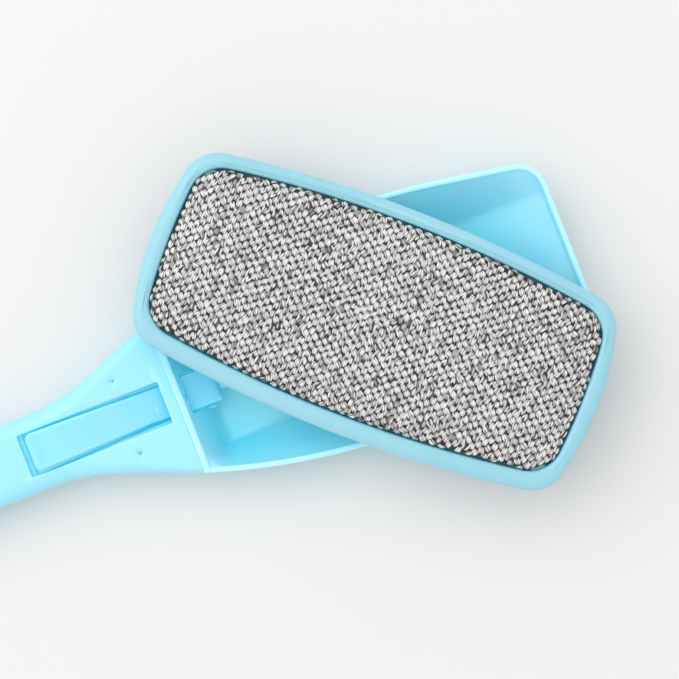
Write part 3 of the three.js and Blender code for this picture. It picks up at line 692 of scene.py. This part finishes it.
def slot_hole():
    """The lever's slot through the cover, with a rounded upper edge."""
    rings = [slot_ring(PARTING_Z, 0)]
    for a in quarter_turn(6):
        rings.append(slot_ring(DECK_Z - SLOT_EDGE + SLOT_EDGE * math.sin(a), SLOT_EDGE * (1 - math.cos(a))))
    rings.append(slot_ring(DECK_Z + 2, SLOT_EDGE))
    return loft(rings)


def slot_shelf():
    """Ledge inside the slot that follows the lever's sides and end, and closes the view down the gap."""
    shelves = []
    xs = np.linspace(LEVER_END_X - 0.3, SLOT_X[1] - 0.3, 40)
    for side in (-1, 1):
        rings = []
        for x in xs:
            z = min(15.0, lever_top(x) - 2.2)
            inner, outer = side * (lever_half(x) + 0.3), side * (SLOT_HALF + 0.6)
            rings.append([(x, inner, z - 2.2), (x, outer, z - 2.2), (x, outer, z), (x, inner, z)])
        shelves.append(loft(rings))
    for x0, x1, top in ((SLOT_X[0] - 0.6, LEVER_END_X - 0.9, 15.0), (LEVER_END_X - 1.2, -116.0, 13.4)):
        shelves.append(block(x0, x1, -SLOT_HALF - 0.6, SLOT_HALF + 0.6, 12.2, top))
    return shelves


def cover_hollow():
    rings = []
    for x in [*reversed(easing(-196, HANDLE_END_X + 3, 8)), *np.linspace(-190, COVER_START_X + 2, 40)]:
        rim = half_width(x, WALL)
        rings.append(ring_at(x, [(rim, PARTING_Z - 1), (rim - 0.2, 13.2), (rim - 1.4, 14.9),
                                 (rim - 3.4, DECK_Z - WALL)]))
    return loft(rings)


def dimple(side):
    dish = [(0, -1.5), (0.5, -1.5), (0.55, -0.5), (0.85, -0.34), (1.25, -0.22), (1.6, -0.07), (2.0, 0.02),
            (2.4, 1), (0, 1)]
    return lathe([(r, DECK_Z + z) for r, z in dish], DIMPLE_X, side * DIMPLE_Y, 48)


def front_cover(finish):
    """Deck of the neck and handle, with its screw posts, the lever's slot and two dimples."""
    rings = []
    for x in [*reversed(easing(-196, HANDLE_END_X, 26)), *np.linspace(-192, COVER_START_X - 0.6, 76),
              *easing(COVER_START_X - 0.5, COVER_START_X, 5)]:
        end_drop = 1.6 * max((HANDLE_END_X + 10 - x) / 10, 0.0) ** 2 + rounded_end(x, HANDLE_END_X, 1.0)
        rings.append(cover_ring(x, rounded_end(x, COVER_START_X, 0.3), end_drop))
    cover = piece("handle_cover", *loft(rings), finish)
    cut(cover, cover_hollow())
    for x, y in COVER_SCREWS:
        add(cover, post(2.7, PARTING_Z + PARTING_GAP, DECK_Z - WALL + 0.3, x, y))
        cut(cover, post(1.25, PARTING_Z - 1, 15.4, x, y, 32))
    cut(cover, slot_hole())
    add(cover, *slot_shelf())
    for side in (-1, 1):
        cut(cover, dimple(side))
    return settle(cover, "shell", "cover_plastic", "front_cover")


# ---------------------------------------------------------------- lever
LEVER_END_X, TAIL_END_X, FORK_ROOF_Z = -120.5, -55.6, 12.4


def lever_top(x):
    """Top of the lever: a raised lip at its proud end, a flat pad, and a fall under the deck to the tail."""
    xs = [-120.5, -119.6, -118.8, -117.8, -116.4, -110, -100, -90, -80, -74, -68, -60, -55.6]
    zs = [20.35, 20.6, 20.55, 20.25, 20.0, 19.8, 18.8, 17.1, 15.2, 14.2, 13.6, 13.4, 13.3]
    return float(np.interp(x, xs, zs))


def lever_bottom(x):
    """Underside of the lever: thin at its proud end, deep round the axle, level under the tail."""
    xs = [-120.5, -118, -106, -98, -94, -91, -87, -83, -76, -55.6]
    zs = [16.2, 15.6, 14.8, 13.4, 9.0, 6.4, 5.6, 6.4, 7.2, 7.7]
    return float(np.interp(x, xs, zs))


def lever_half(x):
    return float(np.interp(x, [-120.5, -116, -74, -73.2, -55], [6.75, 6.75, 5.75, 6.2, 6.3]))


def smoothed(height, x, reach):
    """A height of the lever at x, averaged over the reach to both sides."""
    taps = np.linspace(-reach, reach, 9)
    return sum(height(min(max(x + d, LEVER_END_X), TAIL_END_X)) for d in taps) / len(taps)


def lever_side(x, draft):
    """Half section of the lever, crown to underside; the draft pulls the top edge in above a small ledge."""
    top, low, half = smoothed(lever_top, x, 0.5), smoothed(lever_bottom, x, 1.5), lever_half(x)
    d = min(max((-117.7 - x) / 2.8, 0.0), 1.0)
    pinch = 1 - math.sqrt(1 - d * d)
    tail = min(max((x + 57.0) / 1.4, 0.0), 1.0)
    top -= 1.6 * pinch + 0.5 * tail ** 2
    low += 0.9 * pinch
    half -= 2.3 * pinch + 0.4 * tail ** 2
    draft *= float(np.interp(x, [-80, -72], [1, 0.15]))
    r = min(0.8 + 0.5 * pinch, (top - low) * 0.4)
    edge = half - draft
    crown = [((edge - r) * f, top - 0.16 * (1 - f * f)) for f in (0.1, 0.3, 0.5, 0.7, 0.88)]
    over = [(edge - r + r * math.sin(a), top - r + r * math.cos(a)) for a in quarter_turn(7)]
    ledge_z = max(top - 2.4, low + 0.9)
    ledge = [(edge + 0.05, ledge_z + 0.35), (half - 0.1, ledge_z + 0.12), (half, ledge_z - 0.1),
             (half, low + 0.4), (half - 0.3, low), (half * 0.5, low), (half * 0.1, low)]
    return [*crown, *over, *ledge]


def trigger_lever(finish):
    """Thumb lever: lipped proud end, flat pad, a ledge mostly on one side, forked tail, spring pocket."""
    xs = [*reversed(easing(-117.6, LEVER_END_X, 18)), *np.linspace(-117.2, -57.2, 110),
          *easing(-57, TAIL_END_X, 7)]
    rings = []
    for x in xs:
        far = [(x, y, z) for y, z in lever_side(x, 0.1)]
        near = [(x, -y, z) for y, z in lever_side(x, 0.75)]
        rings.append(far + near[::-1])
    lever = piece("thumb_lever", *loft(rings), finish)
    cut(lever, bar_along_y(AXLE_R + RUNNING_GAP, AXLE_X, AXLE_Z, -9, 9))
    cut(lever, post(SPRING_R + 1.3, 10, 16.9, SPRING_X))
    cut(lever, block(-63.6, -54, -2.9, 2.9, 0, FORK_ROOF_Z))
    cut(lever, bar_along_y(PIN_R + 0.3, PIN_X, PIN_Z, -9, 9))
    for x, y in ((-78.6, -1.6), (-77.4, -3.1), (-79.3, -3.4), (-76.9, -0.4)):
        speck = lathe([(0, -0.2), (0.16, -0.1), (0.13, 0.06), (0, 0.1)], x, y, 10)
        speck[0][:, 2] += lever_top(x) - 0.1
        add(lever, speck)
    return settle(lever, "lever", "lever_plastic", "trigger_lever")


def rounded_outline(points, r, steps=4):
    """Cuts each corner of a closed outline with a small curve."""
    out, n = [], len(points)
    for i in range(n):
        p, a, b = (np.array(points[j], float) for j in (i, i - 1, (i + 1) % n))
        da, db = a - p, b - p
        ra, rb = min(r, np.linalg.norm(da) * 0.4), min(r, np.linalg.norm(db) * 0.4)
        out += quad_bezier(p + da / np.linalg.norm(da) * ra, p, p + db / np.linalg.norm(db) * rb, steps)
    return out


def drawn_in(value, middle, inset):
    """A coordinate moved towards the middle by the inset, or by less when it is nearly there."""
    return value - inset * np.sign(value - middle) * min(abs(value - middle), 1)


def pawl_arm(finish):
    outline = rounded_outline([(-62.3, 8.5), (-61.1, 7.7), (-58.3, 7.7), (-50, 10.2), (-18.8, 10.2),
                               (-18.8, 11.6), (-21, 12.4), (-53.9, 12.6), (-55, 12.1), (-61.1, 12.1),
                               (-62.3, 11.4)], 0.9)
    mid_x, mid_z = np.mean(outline, axis=0)
    rings = []
    for y, inset in ((-2.6, 0.3), (-2.5, 0.1), (-2.3, 0.0), (2.3, 0.0), (2.5, 0.1), (2.6, 0.3)):
        rings.append([(drawn_in(x, mid_x, inset), y, drawn_in(z, mid_z, inset)) for x, z in outline])
    arm = piece("pawl_arm_lever", *loft(rings), finish)
    cut(arm, bar_along_y(PIN_R + 0.3, PIN_X, PIN_Z, -4, 4))
    return settle(arm, "lever", "lever_plastic", "pawl_arm")


def coil_spring(finish):
    turns, steps, sides = 6, 36, 12
    low, high = 2.4 + SPRING_WIRE, 14.5 - SPRING_WIRE
    rings = []
    for k in range(turns * steps + 1):
        t = k / (turns * steps)
        eased = np.interp(t, [0, 0.12, 0.88, 1], [0, 0.035, 0.965, 1])
        angle = t * turns * 2 * math.pi
        radial = Vector((math.cos(angle), math.sin(angle), 0))
        centre = Vector((SPRING_X, 0, low + (high - low) * eased)) + radial * SPRING_R
        ring = [centre + SPRING_WIRE * (radial * math.cos(a) + Vector((0, 0, 1)) * math.sin(a))
                for a in np.linspace(0, 2 * math.pi, sides, endpoint=False)]
        rings.append([tuple(p) for p in ring])
    spring = piece("return_spring", *loft(rings), finish)
    return settle(spring, "shell", "spring_steel", "lever_spring")


# ---------------------------------------------------------------- head
class Barrel:
    """Four arcs with rounded corners; an inset keeps the arc centres and shortens every radius."""

    def __init__(self, a, b, long_r, end_r, corner, shift):
        self.shift = shift
        self.long = (np.array([0, b - long_r]), long_r)
        self.end = (np.array([a - end_r, 0.0]), end_r)
        r1, r2 = long_r - corner, end_r - corner
        between = self.end[0] - self.long[0]
        d = np.linalg.norm(between)
        u = between / d
        along = (r1 ** 2 - r2 ** 2 + d ** 2) / (2 * d)
        off = math.sqrt(r1 ** 2 - along ** 2)
        centre = self.long[0] + u * along + np.array([u[1], -u[0]]) * off
        self.corner = (centre, corner)
        self.a_end, self.a_long = (math.atan2(*(centre - c)[::-1]) for c in (self.end[0], self.long[0]))

    def outline(self, inset=0.0, scale=1.0, counts=(10, 14, 22)):
        runs = ((self.end, 0, self.a_end), (self.corner, self.a_end, self.a_long),
                (self.long, self.a_long, math.pi / 2))
        right = []
        for ((c, r), start, stop), count in zip(runs, counts, strict=True):
            for angle in np.linspace(start, stop, count, endpoint=False):
                right.append(((c[0] + (r - inset) * math.cos(angle)) * scale,
                              (c[1] + (r - inset) * math.sin(angle)) * scale))
        (c, r) = self.long
        top = (0.0, (c[1] + r - inset) * scale)
        upper = [*right, top, *((-x, y) for x, y in reversed(right[1:])), (-right[0][0], right[0][1])]
        whole = upper + [(x, -y) for x, y in reversed(upper[1:-1])]
        return [(x, y + self.shift) for x, y in whole]


head_edge = Barrel(**HEAD)
window_edge = Barrel(**WINDOW)
TURN = np.array([[math.cos(REST_TURN), -math.sin(REST_TURN)], [math.sin(REST_TURN), math.cos(REST_TURN)]])
HEAD_SCREWS = [(sx * (head_edge.corner[0][0] + SCREW_PAST_CORNER),
                sy * (head_edge.corner[0][1] + SCREW_PAST_CORNER) + head_edge.shift)
               for sx, sy in ((1, 1), (-1, 1), (-1, -1), (1, -1))]


def turned(points):
    """Head-frame points, turned to where the head is parked."""
    points = np.array(points, float)
    points[:, :2] = points[:, :2] @ TURN.T
    return points


def in_head(solid):
    points, faces = solid
    return turned(points), faces


def head_ring(edge, inset, z, scale=1.0):
    return [(x, y, z) for x, y in edge.outline(inset, scale)]


def head_rings(edge, insets):
    return [head_ring(edge, inset, z) for inset, z in insets]


def head_bezel(finish):
    """Frame of the head: rounded outer edge, crowned face, softened inner lip, skirt and corner posts."""
    outer = [(0.75, 21.9), (0.6, 22.05), (0.5, 22.6), (0.25, 24.8), (0.0, 26.6), (0.02, 27.4), (0.12, 28.0),
             (0.34, 28.55), (0.7, 29.05), (1.2, 29.45), (1.8, 29.73), (2.5, 29.91), (3.2, HEAD_TOP_Z)]
    inner = [(-1.7, 29.98), (-1.15, 29.9), (-0.7, 29.76), (-0.35, 29.53), (-0.12, 29.2), (-0.02, 28.8),
             (0, 28.4), (0, 27.5), (-0.25, FLANGE_UNDER_Z)]
    skirt = [(SKIRT_WALL + 0.4, FLANGE_UNDER_Z), (SKIRT_WALL, 26.8), (SKIRT_WALL, 22.2), (1.8, 21.9)]
    rings = [*head_rings(head_edge, outer), *head_rings(window_edge, inner), *head_rings(head_edge, skirt)]
    bezel = piece("head_frame", *in_head(loft(rings, closed=True)), finish)
    for x, y in HEAD_SCREWS:
        add(bezel, in_head(post(2.3, 22.2, FLANGE_UNDER_Z + 0.4, x, y)))
        cut(bezel, in_head(post(1.2, 21, 27, x, y, 32)))
    return settle(bezel, "head", "head_plastic", "head_bezel")


def head_pan(finish):
    """Underside of the head: rounded pan with ribs, screw holes and the hub that turns on the spindle."""
    outer = [(7, HEAD_BOTTOM_Z), (4.3, HEAD_BOTTOM_Z), (3.7, 19.53), (3.0, 19.66), (2.3, 19.95), (1.7, 20.35),
             (1.3, 20.8), (1.05, 21.3), (1.0, 21.6), (2.4, 21.6), (2.4, 25.8)]
    pan = piece("head_back", *in_head(loft(head_rings(head_edge, outer))), finish)
    cut(pan, in_head(loft(head_rings(head_edge, [(4.6, 21.5), (4.4, 27)]))))
    for y in (-19, 19):
        add(pan, in_head(block(-54, 54, y - 0.9, y + 0.9, 21.3, 26.2)))
    for x in (-40, 40):
        add(pan, in_head(block(x - 0.9, x + 0.9, -19, 19, 21.3, 26.2)))
    hub_z = DISC_Z[1] + 0.3
    add(pan, lathe([(0, hub_z), (HUB_R - 0.25, hub_z), (HUB_R, DISC_Z[1] + 0.55), (HUB_R, 18.0),
                    (HUB_R + 0.3, 18.8), (HUB_R + 1.2, 19.45), (HUB_R + 1.2, 20.0), (0, 20.0)], segments=96))
    cut(pan, post(SPINDLE_R + RUNNING_GAP, 5, 24, segments=96))
    for x, y in HEAD_SCREWS:
        cut(pan, in_head(post(1.4, 15, 24, x, y, 32)), in_head(post(2.4, 15, 20.9, x, y)))
    for x, y in around(2, INDEX_SCREW_R):
        cut(pan, in_head(post(1.1, 5, 16, x, y, 32)))
    return settle(pan, "head", "head_plastic", "head_pan")


def pad_height(s):
    """Height of the pad's dome where s is 1 at its edge and 0 at its middle."""
    return PAD_EDGE_Z + PAD_RISE * np.sqrt(np.clip(1 - np.asarray(s) ** 4, 0, None))


def window_reach():
    """The window outline's distance from the middle at each angle, for telling how far out a point lies."""
    edge = np.array(window_edge.outline(PAD_INSET))
    angle = np.arctan2(edge[:, 1], edge[:, 0])
    order = np.argsort(angle)
    return angle[order], np.hypot(edge[:, 0], edge[:, 1])[order]


REACH = window_reach()


def reach_at(x, y):
    return np.interp(np.arctan2(y, x), REACH[0], REACH[1], period=2 * math.pi)


def share_out(x, y):
    """0 at the middle of the pad, 1 at its edge."""
    return np.hypot(x, y) / reach_at(x, y)


def wrapped(x, y):
    """Moves points of the flat cloth to where they come to lie on the dome, seen from above."""
    far, reach = np.hypot(x, y), reach_at(x, y)
    share = 1 - np.linspace(1, 0, 240) ** 3
    rise = np.diff(pad_height(share))
    run = np.hypot(rise[None], np.diff(share)[None] * reach[:, None])
    along = np.concatenate([np.zeros((len(far), 1)), np.cumsum(run, 1)], 1)
    lies = np.array([np.interp(d, row, share, right=2.0) for d, row in zip(far, along, strict=True)])
    factor = lies * reach / np.maximum(far, 1e-6)
    return x * factor, y * factor


def lint_ground(finish):
    """The cloth's ground: a closed dome that tucks under the frame all round."""
    scales = [1.0, 0.995, 0.985, 0.97, 0.95, 0.925, 0.895, 0.86, 0.82, 0.77, 0.71, 0.64, 0.56, 0.47, 0.37,
              0.26, 0.14, 0.05]
    rings = head_rings(window_edge, [(PAD_INSET + 1.2, 28.42), (PAD_INSET, 28.42)])
    rings += [head_ring(window_edge, PAD_INSET, float(pad_height(s)), s) for s in scales]
    ground = piece("lint_pad", *in_head(loft(rings)), finish)
    settle(ground, "head", "lint_cloth", "lint_fabric")
    return ground


TUFT_PITCH, ROW_PITCH, ROW_SKEW = 3.42, 1.39, math.radians(2.3)
# each row of the four-row repeat: lean in degrees, width, length, brightness
ROW_KINDS = [(-8, 1.75, 2.6, 0.66), (-18, 2.0, 2.4, 0.58), (4, 2.0, 2.4, 0.54), (42, 1.85, 2.6, 0.64)]
STRANDS, ALONG, ACROSS = 3, 7, 3


def tuft_places(rng):
    """Where the tufts stand on the dome, and the row kind of each."""
    row, col = (g.ravel() for g in np.meshgrid(np.arange(-28, 29), np.arange(-24, 25), indexing="ij"))
    flat_x, flat_y = (col + 0.5 * (row % 2)) * TUFT_PITCH, row * ROW_PITCH
    x = flat_x * math.cos(ROW_SKEW) + flat_y * math.sin(ROW_SKEW)
    y = flat_y * math.cos(ROW_SKEW) - flat_x * math.sin(ROW_SKEW)
    x = x + rng.normal(0, 0.07, x.size) + 0.3 * np.sin(y * 0.11 + 0.6)
    y = y + rng.normal(0, 0.07, x.size) + 0.22 * np.sin(x * 0.07)
    x, y = wrapped(x, y)
    keep = share_out(x, y) < 1.0
    return x[keep], y[keep], np.array(ROW_KINDS)[row[keep] % 4]


def tuft_axes(x, y, lean):
    """The side, along and outward directions of each tuft, which lies on the dome and leans in its plane."""
    step = 0.03
    slope_x, slope_y = (
        (pad_height(share_out(x + dx, y + dy)) - pad_height(share_out(x - dx, y - dy))) / (2 * step)
        for dx, dy in ((step, 0), (0, step)))
    steep = np.maximum(np.hypot(slope_x, slope_y) / 4.0, 1)
    normal = np.stack([-slope_x / steep, -slope_y / steep, np.ones(x.size)], 1)
    normal /= np.linalg.norm(normal, axis=1)[:, None]
    along = np.stack([-np.sin(lean), np.cos(lean), np.zeros(x.size)], 1)
    along -= normal * np.sum(along * normal, 1)[:, None]
    along /= np.linalg.norm(along, axis=1)[:, None]
    return np.cross(along, normal), along, normal


def grid_faces(count, rows, columns):
    """Four-sided faces of many equal grids of points, numbered grid after grid."""
    corners = np.array([0, 1, columns + 1, columns])
    grid = np.array([i * columns + j + corners for i in range(rows - 1) for j in range(columns - 1)])
    return (np.arange(count)[:, None, None] * rows * columns + grid[None]).reshape(-1, 4)


def strand_mesh(points, marks):
    """One mesh of all the strands, with the marks as numbers on its points."""
    flat = points.reshape(-1, 3)
    faces = grid_faces(len(flat) // (ALONG * ACROSS), ALONG, ACROSS)
    mesh = bpy.data.meshes.new("lint_tufts")
    mesh.vertices.add(len(flat))
    mesh.vertices.foreach_set("co", (turned(flat) * MM).ravel())
    mesh.loops.add(faces.size)
    mesh.loops.foreach_set("vertex_index", faces.ravel())
    mesh.polygons.add(len(faces))
    mesh.polygons.foreach_set("loop_start", np.arange(0, faces.size, 4))
    mesh.update(calc_edges=True)
    mesh.validate()
    for label, values in marks.items():
        attribute = mesh.attributes.new(label, "FLOAT", "POINT")
        spread = np.broadcast_to(values, points.shape[:-1])
        attribute.data.foreach_set("value", spread.astype(np.float32).ravel())
    mesh.polygons.foreach_set("use_smooth", [True] * len(mesh.polygons))
    return mesh


def per_tuft(values):
    """Values of the tufts, ready to meet numbers for strand, place along and place across."""
    return values[:, None, None, None]


def lint_tufts(finish):
    """Bright yarn floats in four repeating rows: bundles of strands that arch up and dive into the ground."""
    rng = np.random.default_rng(11)
    x, y, kinds = tuft_places(rng)
    count = x.size
    lean = np.radians(kinds[:, 0] + rng.normal(0, 5, count))
    width = kinds[:, 1] * rng.normal(1, 0.08, count)
    length = kinds[:, 2] * rng.normal(1, 0.08, count)
    tone = kinds[:, 3] + 0.38 + rng.normal(0, 0.07, count)

    shape = (count, STRANDS, 1, 1)
    place = np.linspace(-1, 1, STRANDS).reshape(1, STRANDS, 1, 1)
    a = np.linspace(-1, 1, ALONG).reshape(1, 1, ALONG, 1) * np.clip(rng.normal(1, 0.07, shape), 0.8, 1.15)
    c = np.linspace(-1, 1, ACROSS).reshape(1, 1, 1, ACROSS)
    twist = rng.normal(0, 0.16, shape)
    arch = 1 - np.abs(a) ** 2.5
    crown = 0.62 - 0.20 * place ** 2 + rng.normal(0, 0.07, shape)
    up = crown * arch + 0.28 * (1 - c ** 2) * (1 - 0.5 * a ** 2) - 0.1
    go = per_tuft(length) / 2 * a + rng.normal(0, 0.1, shape)
    bundle = per_tuft(width) / 2 * (place * 0.70 * (1 - 0.22 * a ** 2) + twist * a)
    out = bundle + 0.33 * c * (1 - 0.35 * a ** 2)
    moves = zip((out, go, up), tuft_axes(x, y, lean), strict=True)
    points = per_tuft(np.stack([x, y, pad_height(share_out(x, y))], 1)) + sum(
        amount[..., None] * per_tuft(axis) for amount, axis in moves)

    # the third mark is painted shade: darkest where a strand dives into the ground and along its edges
    marks = {"tuft_tone": np.clip(per_tuft(tone) + rng.normal(0, 0.34, shape), 0.02, 1),
             "tuft_across": place * 2 + c,
             "tuft_painted_shade": np.clip(0.85 - arch * 1.6 + 0.7 * c ** 2, 0, 1)}
    tufts = bpy.data.objects.new("lint_tufts", strand_mesh(points, marks))
    bpy.context.collection.objects.link(tufts)
    tufts.data.materials.append(finish)
    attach(tufts, "head")
    return tufts


# ---------------------------------------------------------------- turned parts and screws
def screw_solid(head_r, head_h, shank_r, length):
    """Pan head with a domed top and rolled thread, head upwards from z = 0."""
    profile = [(0, -length), (shank_r * 0.3, -length)]
    pitch = max(shank_r * 0.55, 0.4)
    z = -length + shank_r * 0.8
    while z < -0.5:
        profile += [(shank_r * 0.78, z), (shank_r, z + pitch * 0.4)]
        z += pitch
    profile += [(shank_r * 0.8, -0.15), (shank_r * 0.85, 0.0), (head_r * 0.94, 0.0), (head_r, head_h * 0.12),
                (head_r, head_h * 0.5)]
    for a in np.linspace(0.25, 1, 5) * math.pi / 2:
        profile.append((head_r * (1 - 0.42 * (1 - math.cos(a))), head_h * (0.5 + 0.5 * math.sin(a))))
    return profile + [(0, head_h)]


def screw(name, where, size, upside_down, finish, body, node, segments=40):
    """A screw with a cross slot, its head on where; size is head radius and height, shank radius, length."""
    head_r, head_h = size[:2]
    made = piece(name, *lathe(screw_solid(*size), segments=segments), finish)
    wide, reach, depth = head_r * 0.15, head_r * 0.62, head_h * 0.55
    for x_half, y_half in ((reach, wide), (wide, reach)):
        rings = [[(-x_half * s, -y_half * s, z), (x_half * s, -y_half * s, z), (x_half * s, y_half * s, z),
                  (-x_half * s, y_half * s, z)] for z, s in ((head_h - depth, 0.7), (head_h + 1, 1.1))]
        cut(made, loft(rings))
    if upside_down:
        made.data.transform(Matrix.Rotation(math.pi, 4, "X"))
    made.data.transform(Matrix.Translation(Vector(where) * MM))
    return settle(made, body, "screw_steel", node, sharp=28)


# head radius, head height, shank radius, length
COVER_SCREW, BASE_SCREW, SPINDLE_SCREW = (1.8, 1.3, 0.95, 12.2), (1.9, 1.0, 0.9, 5.2), (3.6, 2.2, 1.4, 11.2)
HEAD_SCREW, DISC_SCREW = (2.0, 1.0, 0.85, 6.0), (1.3, 0.7, 0.6, 6.0)


def screws(name, node, places, z, size, upside_down, finish, body):
    for i, (x, y) in enumerate(places, 1):
        screw(f"{name}_{i}", (x, y, z), size, upside_down, finish, body, f"{node}_{i}")


def all_screws(finish):
    base = around(3, BASE_SCREW_R, math.pi / 2)
    corners, disc = (turned([(x, y, 0) for x, y in places])[:, :2]
                     for places in (HEAD_SCREWS, around(2, INDEX_SCREW_R)))
    screws("handle_screw", "cover_screw", COVER_SCREWS, 1.6, COVER_SCREW, True, finish, "shell")
    screws("base_screw", "spindle_base_screw", base, 6.6, BASE_SCREW, False, finish, "shell")
    screw("spindle_screw", (0, 0, 23.6), SPINDLE_SCREW, False, finish, "shell", "spindle_top_screw")
    screws("frame_screw", "head_screw", corners, 20.6, HEAD_SCREW, True, finish, "head")
    screws("disc_screw", "index_screw", disc, 8.6, DISC_SCREW, True, finish, "head")


def chamfered(r_in, r_out, z0, z1, c=0.12):
    return [(r_in, z0 + c), (r_in + c, z0), (r_out - c, z0), (r_out, z0 + c), (r_out, z1 - c),
            (r_out - c, z1), (r_in + c, z1), (r_in, z1 - c)]


def swivel_spindle(finish):
    profile = [(0, 4.8), (FLANGE_R - 0.3, 4.8), (FLANGE_R, 5.1), (FLANGE_R, 6.0), (FLANGE_R - 0.3, 6.3),
               (SPINDLE_R + 0.1, 6.3), (SPINDLE_R, 6.4), (SPINDLE_R, 21.6), (SPINDLE_R - 0.4, 22.0),
               (0, 22.0)]
    spindle = piece("swivel_post", *lathe(profile, segments=96), finish)
    cut(spindle, post(1.8, 11.5, 23))
    for x, y in around(3, BASE_SCREW_R, math.pi / 2):
        cut(spindle, post(1.25, 3, 8, x, y, 32))
    settle(spindle, "shell", "pin_steel", "swivel_spindle")


def index_disc(finish):
    profile = chamfered(SPINDLE_R + RUNNING_GAP, DISC_R, *DISC_Z, 0.2)
    disc = piece("notched_disc", *in_head(lathe(profile, segments=128)), finish)
    for x, y in around(4, 20):
        cut(disc, in_head(block(x - 3, x + 3, y - 3, y + 3, 9, 12)))
    for x, y in around(2, INDEX_SCREW_R):
        cut(disc, in_head(post(0.95, 5, 16, x, y, 32)), in_head(post(1.65, 5, 8.9, x, y, 32)))
    settle(disc, "head", "white_plastic", "index_disc")


def spindle_washers(nylon, steel):
    washer = piece("nylon_washer", *lathe(chamfered(SPINDLE_R + 0.3, 6.9, 6.6, 7.6), segments=96), nylon)
    settle(washer, "shell", "white_plastic", "bearing_washer")
    keeper = piece("keeper_washer", *lathe(chamfered(2.2, 10.0, 22.3, 23.3), segments=96), steel)
    settle(keeper, "shell", "pin_steel", "retaining_washer")


def lever_axle(finish):
    axle = piece("rocker_axle", *bar_along_y(AXLE_R, AXLE_X, AXLE_Z, -9.6, 9.6, 0.3), finish)
    settle(axle, "shell", "pin_steel", "lever_axle")


def pawl_pin(finish):
    """Pin across the lever's tail, with a low collar against each side."""
    pin = piece("knuckle_pin", *bar_along_y(PIN_R, PIN_X, PIN_Z, -PIN_HALF, PIN_HALF, 0.7), finish)
    for y0, y1 in ((-7.15, -6.6), (6.6, 7.15)):
        add(pin, bar_along_y(PIN_R + 0.75, PIN_X, PIN_Z, y0, y1, 0.2))
    settle(pin, "lever", "lever_plastic", "pawl_pin")


# ---------------------------------------------------------------- assembly
make_studio()
# the shell shares the cover's plastic; its lighter tone is painted light for the tray's lit walls
SKY = blue_plastic("sky_blue_shell", (0.45, 0.765, 0.89), (0.41, 0.735, 0.88), (0.58, 0.84, 0.92))
AQUA = blue_plastic("aqua_cover", (0.34, 0.72, 0.86), (0.30, 0.69, 0.85), (0.55, 0.84, 0.92))
# painted shade: a higher shade range and a deeper tint darken the lever's tail under the head
LEVER_BLUE = blue_plastic("lever_blue", (0.27, 0.69, 0.87), (0.24, 0.66, 0.86), (0.6, 0.88, 0.94),
                          roughness=0.3, glow=0.2, shade=(0.5, 0.98), shade_tint=(0.1, 0.72, 0.85))
FRAME_BLUE = blue_plastic("frame_blue", (0.28, 0.56, 0.66), (0.25, 0.54, 0.64), (0.5, 0.76, 0.82),
                          roughness=0.36, glow=0.03)
BRIGHT_STEEL = turned_steel("bright_steel", (0.58, 0.58, 0.59), 0.3, 900.0)
ZINC = turned_steel("zinc_plate", (0.62, 0.62, 0.6), 0.36, 700.0)
WIRE = turned_steel("spring_wire", (0.5, 0.5, 0.52), 0.28, 1200.0)
ACETAL, BOARD, FOAM = white_acetal(), grey_board(), cream_foam()

back_shell(SKY)
front_cover(AQUA)
trigger_lever(LEVER_BLUE)
pawl_arm(LEVER_BLUE)
coil_spring(WIRE)
head_bezel(FRAME_BLUE)
head_pan(FRAME_BLUE)
lint_ground(cloth_ground())
lint_tufts(silver_yarn())
swivel_spindle(BRIGHT_STEEL)
index_disc(ACETAL)
spindle_washers(ACETAL, BRIGHT_STEEL)
lever_axle(BRIGHT_STEEL)
pawl_pin(LEVER_BLUE)
all_screws(ZINC)
for hidden, finish in (("pad_board", BOARD), ("foam_pad", FOAM)):
    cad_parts[hidden].material_slots[0].material = finish

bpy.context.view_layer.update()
